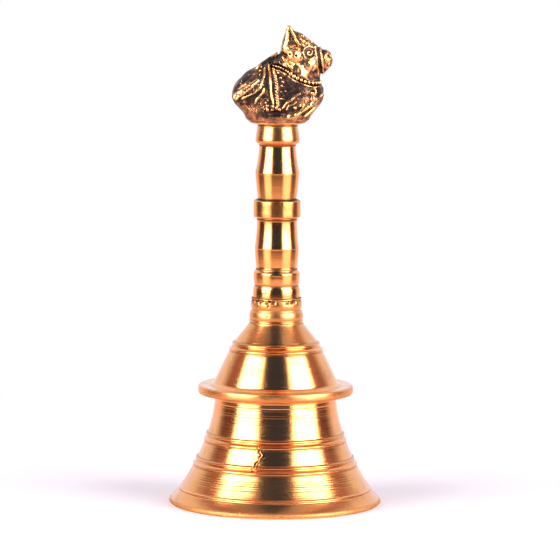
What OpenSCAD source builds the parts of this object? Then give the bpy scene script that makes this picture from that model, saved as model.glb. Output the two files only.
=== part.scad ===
// Brass puja hand bell: a cast and turned bell, a two-piece turned grip and a cast bull finial,
// drawn together by threaded studs, with a clapper that hangs from a swivelling eye in the crown.
// Origin: centre of the mouth plane, +Z up the axis, +X the way the bull faces.

/* [Bell] */
// Outer diameter of the mouth
mouth_d = 72.8; // [68:0.2:78]
// Horizontal thickness of the bell wall
wall = 2.8; // [2.4:0.1:3.2]
// Outer diameter of the flange ring
flange_d = 53.2; // [50:0.2:56]
// Radius of the waist just under the flange
waist_r = 20.8; // [20:0.1:22]
// Radius of the shoulder just above the flange
shoulder_r = 21.4; // [20.5:0.1:22]
// Height of the face that the grip stands on
seat_z = 70.5; // [69:0.1:72]

/* [Grip] */
// Largest radius of the turned collars on the grip
collar_r = 8.05; // [7.8:0.05:8.3]
// Radius of the swollen middle of each grip piece
swell_r = 7.55; // [7.2:0.05:7.8]
// Radius of the narrow stretches between them
narrow_r = 6.4; // [6:0.05:6.8]

/* [Clapper] */
// Radius of the clapper bob
bob_r = 6.0; // [5:0.1:6.4]
// Wire radius of the hanger's stirrup
eye_wire_r = 1.0; // [0.8:0.05:1.1]
// Wire radius of the clapper loop
loop_wire_r = 1.1; // [0.9:0.05:1.2]
// Distance from the pivot down to the middle of the bob
clapper_len = 36; // [32:0.5:37]

/* [Bull finial] */
// Overall length of the bull, rump to muzzle
bull_len = 37; // [34:0.5:39]
// Half width of the bull's trunk
bull_half_w = 8.6; // [8:0.1:9.2]

/* [Hidden] */

round_fn = 96;
arc_step = 18;          // degrees between the points of a turned arc
curve_steps = 12;       // straight cuts along each curved stretch of the bell
gap = 0.05;             // radial clearance round a screwed or pinned joint
run_gap = 0.08;         // radial clearance of the swivelling pin

// Bell heights
lip_line_z = 5.3;
waist_z = 37.2;
flange_z = 39.5;
flange_half_t = 1.55;
shoulder_z = 41.4;
neck_z = 63;
neck_r = 9.3;
lip_line_r = mouth_d / 2 - 3.7;
crown_in_z = 59.5;
crown_in_r = 7.6;
bead_r = 0.5;

// Grip heights
ring_z = 80;            // conical ring low on the grip
collar_z = 98.6;        // underside of the middle collar
joint_z = 104.9;        // face where the upper grip stands on the middle collar
top_collar_z = 124;
finial_z = 130.3;       // face that the bull stands on

// Screwed parts
nipple_r = 4;
nipple_bore_r = 1.7;
nipple_low_z = 53.4;
nipple_top_z = 84;
washer_t = 1;
nut_t = 4;
nut_flats = 13;
stud_r = 2.5;
stud_pitch = 1.25;
thread_depth = 0.35;

// Clapper and its hanger
eye_mean_r = 3;
eye_leg = 2.6;          // straight legs of the stirrup, between its bar and its arch
pivot_z = 46.4;         // centre of the stirrup's bar, about which the clapper swings
eye_z = pivot_z + eye_leg;
loop_mean_r = 3.2;
loop_z = pivot_z + eye_wire_r + loop_wire_r + 0.15 - loop_mean_r;
rod_r = 1.6;
bob_z = pivot_z - clapper_len;

brass = "goldenrod";
old_brass = "sienna";
steel = "silver";

// Radius of the flaring lower bell at height z: a power curve from the waist out to the lip line
function flare_r(z) = waist_r + (lip_line_r - waist_r) * pow((waist_z - z) / (waist_z - lip_line_z), 1.7);

// Radius of the shoulder at height z: a power curve from the flange in to the neck
function dome_r(z) = neck_r + (shoulder_r - neck_r) * pow((neck_z - z) / (neck_z - shoulder_z), 0.8);

// Half-round bead of radius b that stands out of an outline at radius r and height z
function bead(r, z, b) = [for (a = [-90 : arc_step : 90]) [r + b * cos(a), z + b * sin(a)]];

// Points of a curve f_(z) between two heights, without its ends
function flare_points(z0, z1) =
    [for (i = [1 : curve_steps - 1]) let (z = z0 + (z1 - z0) * i / curve_steps) [flare_r(z), z]];
function dome_points(z0, z1) =
    [for (i = [1 : curve_steps - 1]) let (z = z0 + (z1 - z0) * i / curve_steps) [dome_r(z), z]];

// Two beads, one above the other, on the flaring part or on the shoulder
function flare_beads(z) = concat(bead(flare_r(z), z, bead_r), bead(flare_r(z + 1.9), z + 1.9, bead_r));
function dome_beads(z) = concat(bead(dome_r(z), z, bead_r), bead(dome_r(z + 1.9), z + 1.9, bead_r));

// A threaded shank: a cylinder with a fine ring thread along it
module threaded(r, z0, z1) {
    turns = floor((z1 - z0 - 1) / stud_pitch);
    start = z0 + (z1 - z0 - turns * stud_pitch) / 2;
    flanks = [for (i = [0 : turns - 1]) for (k = [0, 1])
        [r - (k == 0 ? thread_depth : 0), start + (i + k / 2) * stud_pitch]];
    rotate_extrude($fn = round_fn)
        polygon(concat([[0, z0], [r - thread_depth, z0]], flanks,
                       [[r - thread_depth, start + turns * stud_pitch], [r - thread_depth, z1], [0, z1]]));
}

// The cast bell: lip, flare, flange ring, shoulder and neck in one wall, with the bore for the nipple
module bell_shell() {
    mouth_r = mouth_d / 2;
    flange_r = flange_d / 2 - flange_half_t;
    outside = concat(
        [[mouth_r - 0.5, 0], [mouth_r, 0.6], [mouth_r - 0.1, 1.5], [lip_line_r + 0.5, lip_line_z - 0.5]],
        bead(lip_line_r, lip_line_z, 0.35),
        flare_points(lip_line_z + 0.6, 13.2),
        flare_beads(13.9),
        flare_points(16.6, 21.5),
        flare_beads(22.2),
        flare_points(25, waist_z),
        [[waist_r, waist_z], [waist_r + 0.6, flange_z - flange_half_t]],
        bead(flange_r, flange_z, flange_half_t),
        [[shoulder_r + 0.5, flange_z + flange_half_t], [shoulder_r, shoulder_z]],
        dome_points(shoulder_z, 52.9),
        dome_beads(53.4),
        dome_points(56.2, 62.7),
        bead(neck_r - 0.2, neck_z, 0.35),
        [[9.0, 63.6], [8.8, 66.6], [8.35, 66.9], [8.35, 67.2], [8.6, 67.6], [8.7, 69], [8.65, 70.9], [8.45, 71.1]],
        [[8.15, 71.1], [8.1, seat_z], [nipple_r + gap, seat_z]]);
    inside = concat(
        [[nipple_r + gap, crown_in_z], [crown_in_r, crown_in_z]],
        [for (i = [1 : curve_steps]) let (z = crown_in_z - (crown_in_z - waist_z) * i / curve_steps)
            [max(crown_in_r, min(dome_r(max(z, shoulder_z)), waist_r) - wall), z]],
        [for (i = [1 : curve_steps]) let (z = waist_z - (waist_z - lip_line_z) * i / curve_steps)
            [flare_r(z) - wall, z]],
        [[mouth_r - 2.6, 0]]);
    color(brass) rotate_extrude($fn = round_fn) polygon(concat(outside, inside));
}

// A vase-shaped stretch of grip: narrow, swelling to swell_r at swell_z, then narrow again
function vase(low_z, low_r, swell_z, high_z, high_r) =
    [[low_r, low_z], [low_r + 0.1, low_z + 1.2], [swell_r - 0.12, swell_z - 0.9], [swell_r, swell_z - 0.25],
     [swell_r, swell_z + 0.25], [swell_r - 0.12, swell_z + 0.9], [high_r + 0.1, high_z - 1.4], [high_r, high_z]];

// Lower half of the grip: foot band, conical ring, vase and the middle collar with its socket
module lower_grip() {
    outline = concat(
        [[nipple_r + gap, seat_z], [7.7, seat_z], [7.95, seat_z + 0.6], [8.05, seat_z + 2.2], [7.9, seat_z + 2.9]],
        [[8.0, seat_z + 3.2], [7.7, seat_z + 4.6], [7.45, seat_z + 4.9], [7.5, seat_z + 5.2]],
        [[collar_r - 0.15, ring_z - 1.2], [collar_r - 0.1, ring_z - 0.6], [narrow_r + 0.5, ring_z + 1]],
        vase(ring_z + 1.2, narrow_r + 0.45, 88.2, collar_z - 0.5, narrow_r + 0.4),
        [[narrow_r + 0.5, collar_z], [collar_r - 0.4, collar_z], [collar_r, collar_z + 0.5]],
        [[collar_r, joint_z - 0.9], [collar_r - 0.3, joint_z - 0.3], [narrow_r + 0.6, joint_z + 0.1]],
        [[narrow_r + 0.4, joint_z - 0.4], [stud_r + gap, joint_z - 0.4], [stud_r + gap, joint_z - 11]],
        [[0, joint_z - 11], [0, nipple_top_z + 5], [nipple_r + gap, nipple_top_z + 5]]);
    color(brass) rotate_extrude($fn = round_fn) polygon(outline);
}

// Upper half of the grip: vase and top collar, with a tapped hole at each end
module upper_grip() {
    foot_z = joint_z - 0.4;
    outline = concat(
        [[stud_r + gap, foot_z], [narrow_r + 0.15, foot_z]],
        vase(joint_z, narrow_r + 0.15, 114.2, top_collar_z - 0.8, narrow_r - 0.2),
        [[narrow_r, top_collar_z - 0.3], [swell_r - 0.7, top_collar_z], [swell_r, top_collar_z + 0.9]],
        [[swell_r, top_collar_z + 2.6], [swell_r - 0.35, finial_z - 1.6], [swell_r - 0.4, finial_z]],
        [[stud_r + gap, finial_z], [stud_r + gap, finial_z - 9], [0, finial_z - 9], [0, joint_z + 9]],
        [[stud_r + gap, joint_z + 9]]);
    color(brass) rotate_extrude($fn = round_fn) polygon(outline);
}

// Threaded hollow nipple that draws the grip down on the neck; the hanger eye swivels in its bore
module tie_nipple() {
    color(steel) difference() {
        threaded(nipple_r, nipple_low_z, nipple_top_z);
        translate([0, 0, nipple_low_z - 1]) cylinder(r = nipple_bore_r, h = nipple_top_z - nipple_low_z + 2,
                                                     $fn = round_fn);
    }
}

// Flat washer under the crown
module crown_washer() {
    color(steel) translate([0, 0, crown_in_z - washer_t]) difference() {
        cylinder(r = crown_in_r - 0.4, h = washer_t, $fn = round_fn);
        translate([0, 0, -1]) cylinder(r = nipple_r + 0.2, h = washer_t + 2, $fn = round_fn);
    }
}

// Hexagon nut with chamfered corners
module crown_nut() {
    top = crown_in_z - washer_t;
    color(steel) difference() {
        intersection() {
            translate([0, 0, top - nut_t]) cylinder(d = nut_flats / cos(30), h = nut_t, $fn = 6);
            rotate_extrude($fn = round_fn)
                polygon([[0, top], [6.9, top], [7.5, top - 0.5], [7.5, top - nut_t + 0.5], [6.9, top - nut_t],
                         [0, top - nut_t]]);
        }
        translate([0, 0, top - nut_t - 1]) cylinder(r = nipple_r + gap, h = nut_t + 2, $fn = round_fn);
    }
}

// Stud between the two halves of the grip
module grip_stud() color(steel) threaded(stud_r, joint_z - 10.6, joint_z + 8.6);

// Stud between the upper grip and the bull
module finial_stud() color(steel) threaded(stud_r, finial_z - 8.6, finial_z + 6);

// Swivelling hanger: a pin through the nipple, peened over its washer, with a stirrup at its foot
module hanger_eye() {
    head_z = nipple_top_z + 0.9;
    color(steel) {
        rotate_extrude($fn = round_fn)
            polygon([[0, eye_z + eye_mean_r], [1.45, eye_z + eye_mean_r], [nipple_bore_r - run_gap, nipple_low_z + 0.4],
                     [nipple_bore_r - run_gap, head_z], [2.3, head_z], [2.1, head_z + 0.6], [1.2, head_z + 1],
                     [0, head_z + 1.1]]);
        translate([0, 0, eye_z]) rotate([90, 0, 90])
            rotate_extrude(angle = 180, $fn = round_fn) translate([eye_mean_r, 0]) circle(r = eye_wire_r, $fn = 48);
        for (side = [-1, 1]) translate([0, side * eye_mean_r, pivot_z]) {
            cylinder(r = eye_wire_r, h = eye_leg, $fn = 48);
            sphere(r = eye_wire_r, $fn = 48);
        }
        translate([0, -eye_mean_r, pivot_z]) rotate([-90, 0, 0])
            cylinder(r = eye_wire_r, h = 2 * eye_mean_r, $fn = 48);
    }
}

// Washer under the peened head, resting on the nipple's upper end
module hanger_washer() {
    color(steel) translate([0, 0, nipple_top_z + gap]) difference() {
        cylinder(r = 3.4, h = 0.8, $fn = round_fn);
        translate([0, 0, -1]) cylinder(r = nipple_bore_r, h = 3, $fn = round_fn);
    }
}

// Clapper rod: a closed loop at the top, a plain rod, and a peened foot under the bob
module clapper_rod() {
    foot_z = bob_z - bob_r - 0.6;
    color(brass) {
        translate([0, 0, loop_z]) rotate([90, 0, 0])
            rotate_extrude($fn = round_fn) translate([loop_mean_r, 0]) circle(r = loop_wire_r, $fn = 32);
        rotate_extrude($fn = round_fn)
            polygon([[0, loop_z - loop_mean_r], [loop_wire_r, loop_z - loop_mean_r],
                     [rod_r + 0.2, loop_z - loop_mean_r - 1.6], [rod_r, loop_z - loop_mean_r - 2.6],
                     [rod_r, foot_z], [2.4, foot_z], [2.1, foot_z - 0.5], [1.1, foot_z - 0.8], [0, foot_z - 0.85]]);
    }
}

// Clapper bob: a turned ball with a short collar at its top and a flat foot for the rivet
module clapper_bob() {
    low = -68;
    high = 66;
    ball = [for (a = [low : 6.7 : high]) [bob_r * cos(a), bob_z + bob_r * sin(a)]];
    foot_z = bob_z - bob_r - 0.6;
    color(brass) rotate_extrude($fn = round_fn)
        polygon(concat([[rod_r + gap, foot_z], [2.3, foot_z]], ball,
                       [[2.5, bob_z + bob_r + 0.2], [2.7, bob_z + bob_r + 0.8], [2.3, bob_z + bob_r + 1.4],
                        [rod_r + gap, bob_z + bob_r + 1.4]]));
}

// Places its children at x, y, z above the face that the bull stands on
module on_base(x, y, z) translate([x * bull_len / 37, y * bull_half_w / 8.6, finial_z + z]) children();

// A ball of the bull's flesh, given as [x, y, z, radius]
module lump(p, fn = 26) on_base(p[0], p[1], p[2]) sphere(r = p[3], $fn = fn);

// The same ball on both sides of the bull
module pair(p, fn = 26) for (side = [-1, 1]) lump([p[0], side * p[1], p[2], p[3]], fn);

// Boat-shaped base that grows out of the top collar and carries the folded legs
module bull_base() hull() {
    on_base(0, 0, 0) cylinder(r = 7.1, h = 0.6, $fn = 40);
    on_base(0, 0, 1.4) cylinder(r = 8.6, h = 0.5, $fn = 40);
    pair([-7.4, 5.4, 4.2, 3.4]);
    pair([7.4, 5.4, 4.2, 3.4]);
    pair([-11.6, 4.2, 8.6, 3.4]);
    pair([11.6, 4.2, 8.2, 3.2]);
}

// Trunk: rump, belly and the back rising to the hump
module bull_trunk() hull() {
    pair([-10.4, 2.4, 11, 5]);
    pair([-3, 1.6, 11, 7]);
    pair([5, 0.8, 11.5, 7.4]);
    lump([-7.4, 0, 15.4, 4.4]);
    lump([-1.2, 0, 20.6, 2.9]);
}

// Neck and chest, upright under the head
module bull_neck() hull() {
    pair([6.4, 1.6, 11, 7]);
    lump([8.4, 0, 15.6, 5.6]);
    lump([3.4, 0, 22.2, 4.2]);
    lump([8.2, 0, 20, 5]);
}

// Head: skull, cheeks and muzzle
module bull_head() hull() {
    pair([5.2, 1.2, 26, 3.6]);
    pair([7.6, 1, 21.2, 3.9]);
    lump([14.4, 0, 22.8, 3.4]);
    pair([14.6, 0.5, 20.6, 3]);
}

// Horn on one side, rising from the skull
module bull_horn(side) hull() {
    lump([3.4, side * 2.7, 27, 2.2], 20);
    lump([3.2, side * 2.5, 30.4, 1.4], 20);
    lump([3.4, side * 1.6, 33, 0.8], 20);
}

// Both folded fore legs and the metal cast between them
module bull_fore_legs() hull() {
    pair([13.4, 3.4, 9.6, 1.9]);
    pair([5.4, 6.2, 5.6, 1.9]);
    pair([8, 5.8, 9.4, 2.2]);
}

// The cast bull, sitting with its legs folded, with a tapped hole in its base
module bull_finial() color(old_brass) difference() {
    union() {
        bull_base();
        bull_trunk();
        bull_neck();
        bull_head();
        bull_horn(1);
        bull_horn(-1);
        bull_fore_legs();
        pair([-8.8, 3.9, 9, 4.9], 48);
        pair([-15, 2.6, 10.6, 1.3], 32);
        pair([5, 5, 23.4, 1.7], 32);
    }
    on_base(0, 0, -1) cylinder(r = stud_r + gap, h = 7.6, $fn = round_fn);
}

bell_shell();
lower_grip();
upper_grip();
bull_finial();
tie_nipple();
crown_washer();
crown_nut();
grip_stud();
finial_stud();
hanger_eye();
hanger_washer();
clapper_rod();
clapper_bob();
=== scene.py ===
"""Looks of the brass puja bell: turned bell and grip, cast bull finial, fittings and studio."""

import logging
import math
from collections.abc import Callable
from dataclasses import dataclass, field
from enum import Enum

import bpy
import numpy as np
from mathutils import Matrix, Vector


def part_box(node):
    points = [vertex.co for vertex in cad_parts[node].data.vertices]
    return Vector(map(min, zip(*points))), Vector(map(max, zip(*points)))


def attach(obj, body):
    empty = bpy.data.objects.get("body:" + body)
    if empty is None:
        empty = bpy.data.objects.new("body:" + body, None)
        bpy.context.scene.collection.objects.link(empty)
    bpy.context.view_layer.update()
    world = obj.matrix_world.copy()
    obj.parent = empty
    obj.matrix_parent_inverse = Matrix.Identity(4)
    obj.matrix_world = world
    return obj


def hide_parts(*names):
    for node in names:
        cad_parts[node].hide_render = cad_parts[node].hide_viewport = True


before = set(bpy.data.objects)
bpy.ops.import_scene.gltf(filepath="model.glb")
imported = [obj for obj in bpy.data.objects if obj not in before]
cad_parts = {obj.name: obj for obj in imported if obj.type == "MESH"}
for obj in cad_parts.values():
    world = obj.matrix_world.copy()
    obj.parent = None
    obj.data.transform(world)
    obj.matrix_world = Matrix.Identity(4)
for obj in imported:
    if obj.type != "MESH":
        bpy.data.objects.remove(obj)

Array = np.ndarray
Piece, Material, Socket = bpy.types.Object, bpy.types.Material, bpy.types.NodeSocket
Pair = tuple[float, float]
Point = Colour = tuple[float, float, float]
Profile = Callable[[Array], Array]
Rise = Callable[[Array, Array, Array], Array]

MM = 0.001
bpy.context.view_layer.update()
LOG = logging.getLogger("puja_bell")


def box_mm(node: str) -> tuple[Array, Array]:
    """A CAD node's corners in millimetres.

    Args:
        node: The CAD node's name.

    Returns:
        The lowest and the highest corner.
    """
    low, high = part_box(node)
    return np.array(low) / MM, np.array(high) / MM


# -------------------- Meshes --------------------


def build_mesh(name: str, points: Array, faces: list[Array]) -> Piece:
    """Puts whole arrays of points and faces into a new, smooth mesh object at the origin.

    Args:
        name: Name of the piece.
        points: N by 3 points in millimetres.
        faces: Arrays of corner indices, one array for each number of corners.

    Returns:
        The new object, linked to the scene.
    """
    mesh = bpy.data.meshes.new(name)
    corners = np.concatenate([f.ravel() for f in faces]).astype(np.int32)
    sizes = np.concatenate([np.full(len(f), f.shape[1]) for f in faces])
    starts = np.concatenate([[0], np.cumsum(sizes)[:-1]]).astype(np.int32)
    mesh.vertices.add(len(points))
    mesh.vertices.foreach_set("co", (points * MM).astype(np.float32).ravel())
    mesh.loops.add(len(corners))
    mesh.loops.foreach_set("vertex_index", corners)
    mesh.polygons.add(len(starts))
    mesh.polygons.foreach_set("loop_start", starts)
    mesh.update(calc_edges=True)
    mesh.polygons.foreach_set("use_smooth", np.ones(len(starts), bool))
    mesh.validate()
    piece = bpy.data.objects.new(name, mesh)
    bpy.context.scene.collection.objects.link(piece)
    return piece


def add_attribute(piece: Piece, name: str, values: Array) -> None:
    """Stores one number per point on a piece, for its material to read.

    Args:
        piece: The mesh object.
        name: Name of the attribute.
        values: One value for each point.
    """
    layer = piece.data.attributes.new(name, "FLOAT", "POINT")
    layer.data.foreach_set("value", values.astype(np.float32))


def spread(axes: list[Array]) -> list[Array]:
    """Shapes three lists of coordinates so that they spread over one grid."""
    return [axis.reshape(shape) for axis, shape in zip(axes, ((-1, 1, 1), (1, -1, 1), (1, 1, -1)))]


def hump(value: Array, middle: float, width: float) -> Array:
    """A bell curve of height 1 about its middle."""
    return np.exp(-(((value - middle) / width) ** 2))


def smooth_step(low: float, high: float, value: Array) -> Array:
    """A soft step from 0 at low to 1 at high.

    Args:
        low: Where the step starts.
        high: Where the step ends.
        value: Values to step.

    Returns:
        3t squared minus 2t cubed, with t the clipped share of the way from low to high.
    """
    t = np.clip((value - low) / (high - low), 0, 1)
    return t * t * (3 - 2 * t)


def read_grid(table: Array, place: Array, soft: bool = False) -> Array:
    """Reads a grid of numbers between its points: the eight corners of the cell, weighted by nearness.

    Args:
        table: The grid; it repeats past its ends.
        place: N by 3 places, in grid steps.
        soft: Whether the weights ease in and out.

    Returns:
        One value for each place.
    """
    cell = np.floor(place).astype(int)
    part = place - cell
    if soft:
        part = part * part * (3 - 2 * part)
    total = np.zeros(len(place))
    for corner in np.ndindex(2, 2, 2):
        at = (cell + corner) % table.shape
        share = np.prod(np.where(corner, part, 1 - part), axis=1)
        total += share * table[at[:, 0], at[:, 1], at[:, 2]]
    return total


def value_noise(points: Array, scale: float, seed: int) -> Array:
    """Smooth random values in space: a grid of random numbers read between its corners.

    Args:
        points: N by 3 points.
        scale: Size of one cell of the grid, in the points' unit.
        seed: Seed of the random numbers.

    Returns:
        One value from -1 to 1 for each point.
    """
    table = np.random.default_rng(seed).uniform(-1, 1, (64, 64, 64)).astype(np.float32)
    return read_grid(table, points / scale, soft=True)


# -------------------- Turned surfaces --------------------


class Outline:
    """A half section of a turned piece: radius and height along a path, in millimetres."""

    def __init__(self, r: float, z: float) -> None:
        """Starts the outline at radius r and height z."""
        self.parts: list[Array] = [np.array([[r, z]], float)]

    @property
    def end(self) -> Array:
        """The last point so far."""
        return self.parts[-1][-1]

    def line(self, r: float, z: float, cut: float = 1.2) -> "Outline":
        """Adds a straight stretch.

        Args:
            r: Radius at its end.
            z: Height at its end.
            cut: Longest piece of the stretch.

        Returns:
            The outline itself.
        """
        start = self.end
        steps = max(1, math.ceil(math.hypot(r - start[0], z - start[1]) / cut))
        share = np.arange(1, steps + 1)[:, None] / steps
        self.parts.append(start + share * (np.array([r, z]) - start))
        return self

    def bow(self, r: float, z: float, bulge: float, steps: int = 8) -> "Outline":
        """Adds a shallow arc: the straight stretch pushed sideways by a parabola.

        Args:
            r: Radius at its end.
            z: Height at its end.
            bulge: How far the middle stands off the chord, to the right of the way it runs.
            steps: Number of cuts.

        Returns:
            The outline itself.
        """
        start = self.end
        way = np.array([r, z]) - start
        side = np.array([way[1], -way[0]]) / max(float(np.hypot(*way)), 1e-9)
        share = np.arange(1, steps + 1)[:, None] / steps
        self.parts.append(start + share * way + 4 * share * (1 - share) * bulge * side)
        return self

    def bead(self, r: float, z: float, radius: float, steps: int = 8) -> "Outline":
        """Adds a half-round bead that stands out at radius r, centred on height z.

        Args:
            r: Radius of the turned surface under the bead.
            z: Height of the bead's middle.
            radius: Radius of the bead's own half circle.
            steps: Number of cuts.

        Returns:
            The outline itself.
        """
        turn = np.linspace(-math.pi / 2, math.pi / 2, steps + 1)
        if self.end[1] > z:
            turn = turn[::-1]
        self.parts.append(np.stack([r + radius * np.cos(turn), z + radius * np.sin(turn)], 1))
        return self

    def curve(self, radius_at: Profile, z0: float, z1: float, steps: int) -> "Outline":
        """Adds a stretch whose radius is a function of height.

        Args:
            radius_at: Function from heights to radii.
            z0: Height at the start of the stretch.
            z1: Height at its end.
            steps: Number of cuts.

        Returns:
            The outline itself.
        """
        z = np.linspace(z0, z1, steps + 1)
        self.parts.append(np.stack([radius_at(z), z], 1))
        return self

    def points(self) -> Array:
        """The whole half section, with repeated points taken out.

        Returns:
            N by 2 radii and heights.
        """
        path = np.concatenate(self.parts)
        keep = np.concatenate([[True], np.hypot(*np.diff(path, axis=0).T) > 1e-4])
        return path[keep]


def revolve(path: Array, angles: Array, closed: bool) -> tuple[Array, list[Array]]:
    """Turns a half section about the Z axis: point (i, j) is section point i at angle j.

    Args:
        path: N by 2 radii and heights.
        angles: Angles round the axis, rising, over one full turn.
        closed: True where the section is a closed loop, False where both its ends lie on the axis.

    Returns:
        Points, with the grid first and any poles last, and the arrays of faces.
    """
    body = path if closed else path[1:-1]
    rows, columns = len(body), len(angles)
    ring = np.stack([np.cos(angles), np.sin(angles)], 1)
    xy = body[:, None, 0, None] * ring[None]
    z = np.broadcast_to(body[:, None, 1, None], (rows, columns, 1))
    points = np.concatenate([xy, z], 2).reshape(-1, 3)
    index = np.arange(rows * columns).reshape(rows, columns)
    if closed:
        index = np.vstack([index, index[:1]])
    after = np.roll(index, -1, axis=1)
    quads = np.stack([index[:-1], after[:-1], after[1:], index[1:]], 2).reshape(-1, 4)
    if closed:
        return points, [quads]
    first, last = len(points), len(points) + 1
    poles = np.array([[0, 0, path[0, 1]], [0, 0, path[-1, 1]]])
    low = np.stack([np.full(columns, first), after[0], index[0]], 1)
    high = np.stack([np.full(columns, last), index[-1], after[-1]], 1)
    return np.vstack([points, poles]), [quads, low, high]


def angle_steps(count: int, fine_at: float | None = None, fine_width: float = 0.5, extra: int = 0) -> Array:
    """Angles over one turn, with an optional stretch where they lie closer together.

    Args:
        count: Number of even steps.
        fine_at: Middle of the fine stretch, in radians.
        fine_width: Half width of the fine stretch.
        extra: Number of added angles there.

    Returns:
        Rising angles in radians.
    """
    even = np.arange(count) * (2 * math.pi / count)
    if fine_at is None or extra == 0:
        return even
    added = np.linspace(fine_at - fine_width, fine_at + fine_width, extra) % (2 * math.pi)
    return np.unique(np.round(np.concatenate([even, added]), 5))


def turned_lines(z: Array, low: float, high: float, pitch: float, depth: float, seed: int) -> Array:
    """Tool marks left by the lathe: a wave of uneven depth between two heights.

    Args:
        z: Heights of the points.
        low: Lower end of the marked stretch.
        high: Upper end of the marked stretch.
        pitch: Height between two marks.
        depth: Largest depth of a mark.
        seed: Seed of the uneven depths.

    Returns:
        How far each point moves inward.
    """
    marks = np.random.default_rng(seed).uniform(0.1, 1.0, 400) ** 1.5
    at = (z - low) / pitch
    size = marks[np.clip(np.floor(at).astype(int), 0, len(marks) - 1)]
    fade = smooth_step(low, low + pitch, z) * (1 - smooth_step(high - pitch, high, z))
    return depth * size * fade * (0.5 - 0.5 * np.cos(2 * math.pi * at))


@dataclass
class CastFlaw:
    """A ragged crack in the casting, opened by the turning tool."""

    angle: float = math.radians(-104.2)
    low: float = 15.2
    high: float = 22.6
    width: float = 0.3
    depth: float = 0.6

    def sink(self, points: Array) -> Array:
        """Depth of the flaw at each point.

        The crack's middle wanders with height and its width varies, both by smooth random values.

        Args:
            points: N by 3 points in millimetres.

        Returns:
            Depth below the turned surface, with a low raised lip beside the crack as negative values.
        """
        radius = np.hypot(points[:, 0], points[:, 1])
        height = np.stack([np.zeros(len(points)), np.zeros(len(points)), points[:, 2]], 1)
        wander = value_noise(height, 2.4, 11) + 0.35 * value_noise(height, 0.8, 12)
        turn = np.arctan2(points[:, 1], points[:, 0]) - self.angle
        across = radius * turn - wander
        span = smooth_step(self.low, self.low + 0.8, points[:, 2])
        span = span * (1 - smooth_step(self.high - 0.8, self.high, points[:, 2]))
        wide = self.width * (1 + 0.7 * value_noise(height, 1.1, 13))
        ragged = across + 0.18 * value_noise(points, 0.5, 14)
        pit = hump(ragged, 0.0, wide)
        lip = hump(np.abs(ragged), 2.1 * wide, 0.8 * wide)
        return span * (self.depth * pit - 0.14 * lip)


@dataclass
class TurnedPiece:
    """A piece turned on the lathe and its numpy surface."""

    name: str
    stands_for: str
    material_slot: str
    segments: int = 160

    def outline(self) -> tuple[Array, bool]:
        """The half section and whether it is a closed loop."""
        raise NotImplementedError

    def angles(self) -> Array:
        """Angles of the section's copies."""
        return angle_steps(self.segments)

    def work(self, points: Array) -> tuple[Array, Array]:
        """Tool marks, knocks and wear on the plain turned surface.

        Args:
            points: N by 3 points of the plain surface.

        Returns:
            How far each point moves inward, and how dark it is painted from 0 to 1, for dirt and for painted
            shade.
        """
        return np.zeros(len(points)), np.zeros(len(points))

    def coarse(self, points: Array) -> Array:
        """How coarsely each point is finished, from 0 where it is buffed to 1 where the tool left it."""
        return np.zeros(len(points))

    def build(self, materials: list[Material]) -> Piece:
        """Builds, dresses and places the piece.

        Args:
            materials: Finish of the outside and, where the piece is hollow, of the inside.

        Returns:
            The finished object.
        """
        path, closed = self.outline()
        points, faces = revolve(path, self.angles(), closed)
        inward, dirt_and_shade = self.work(points)
        coarse = self.coarse(points)
        radius = np.maximum(np.hypot(points[:, 0], points[:, 1]), 1e-9)
        points[:, :2] *= np.maximum(1 - inward / radius, 0)[:, None]
        piece = build_mesh(self.name, points, faces)
        # Dirt and painted shade: how dark each point is painted.
        add_attribute(piece, "dirt_and_shade", dirt_and_shade)
        add_attribute(piece, "coarse", coarse)
        for material in materials:
            piece.data.materials.append(material)
        self.dress(piece, faces)
        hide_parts(self.stands_for)
        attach(piece, "bell")
        return piece

    def dress(self, piece: Piece, faces: list[Array]) -> None:
        """Chooses which faces take the second finish; a solid piece has none."""


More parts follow.
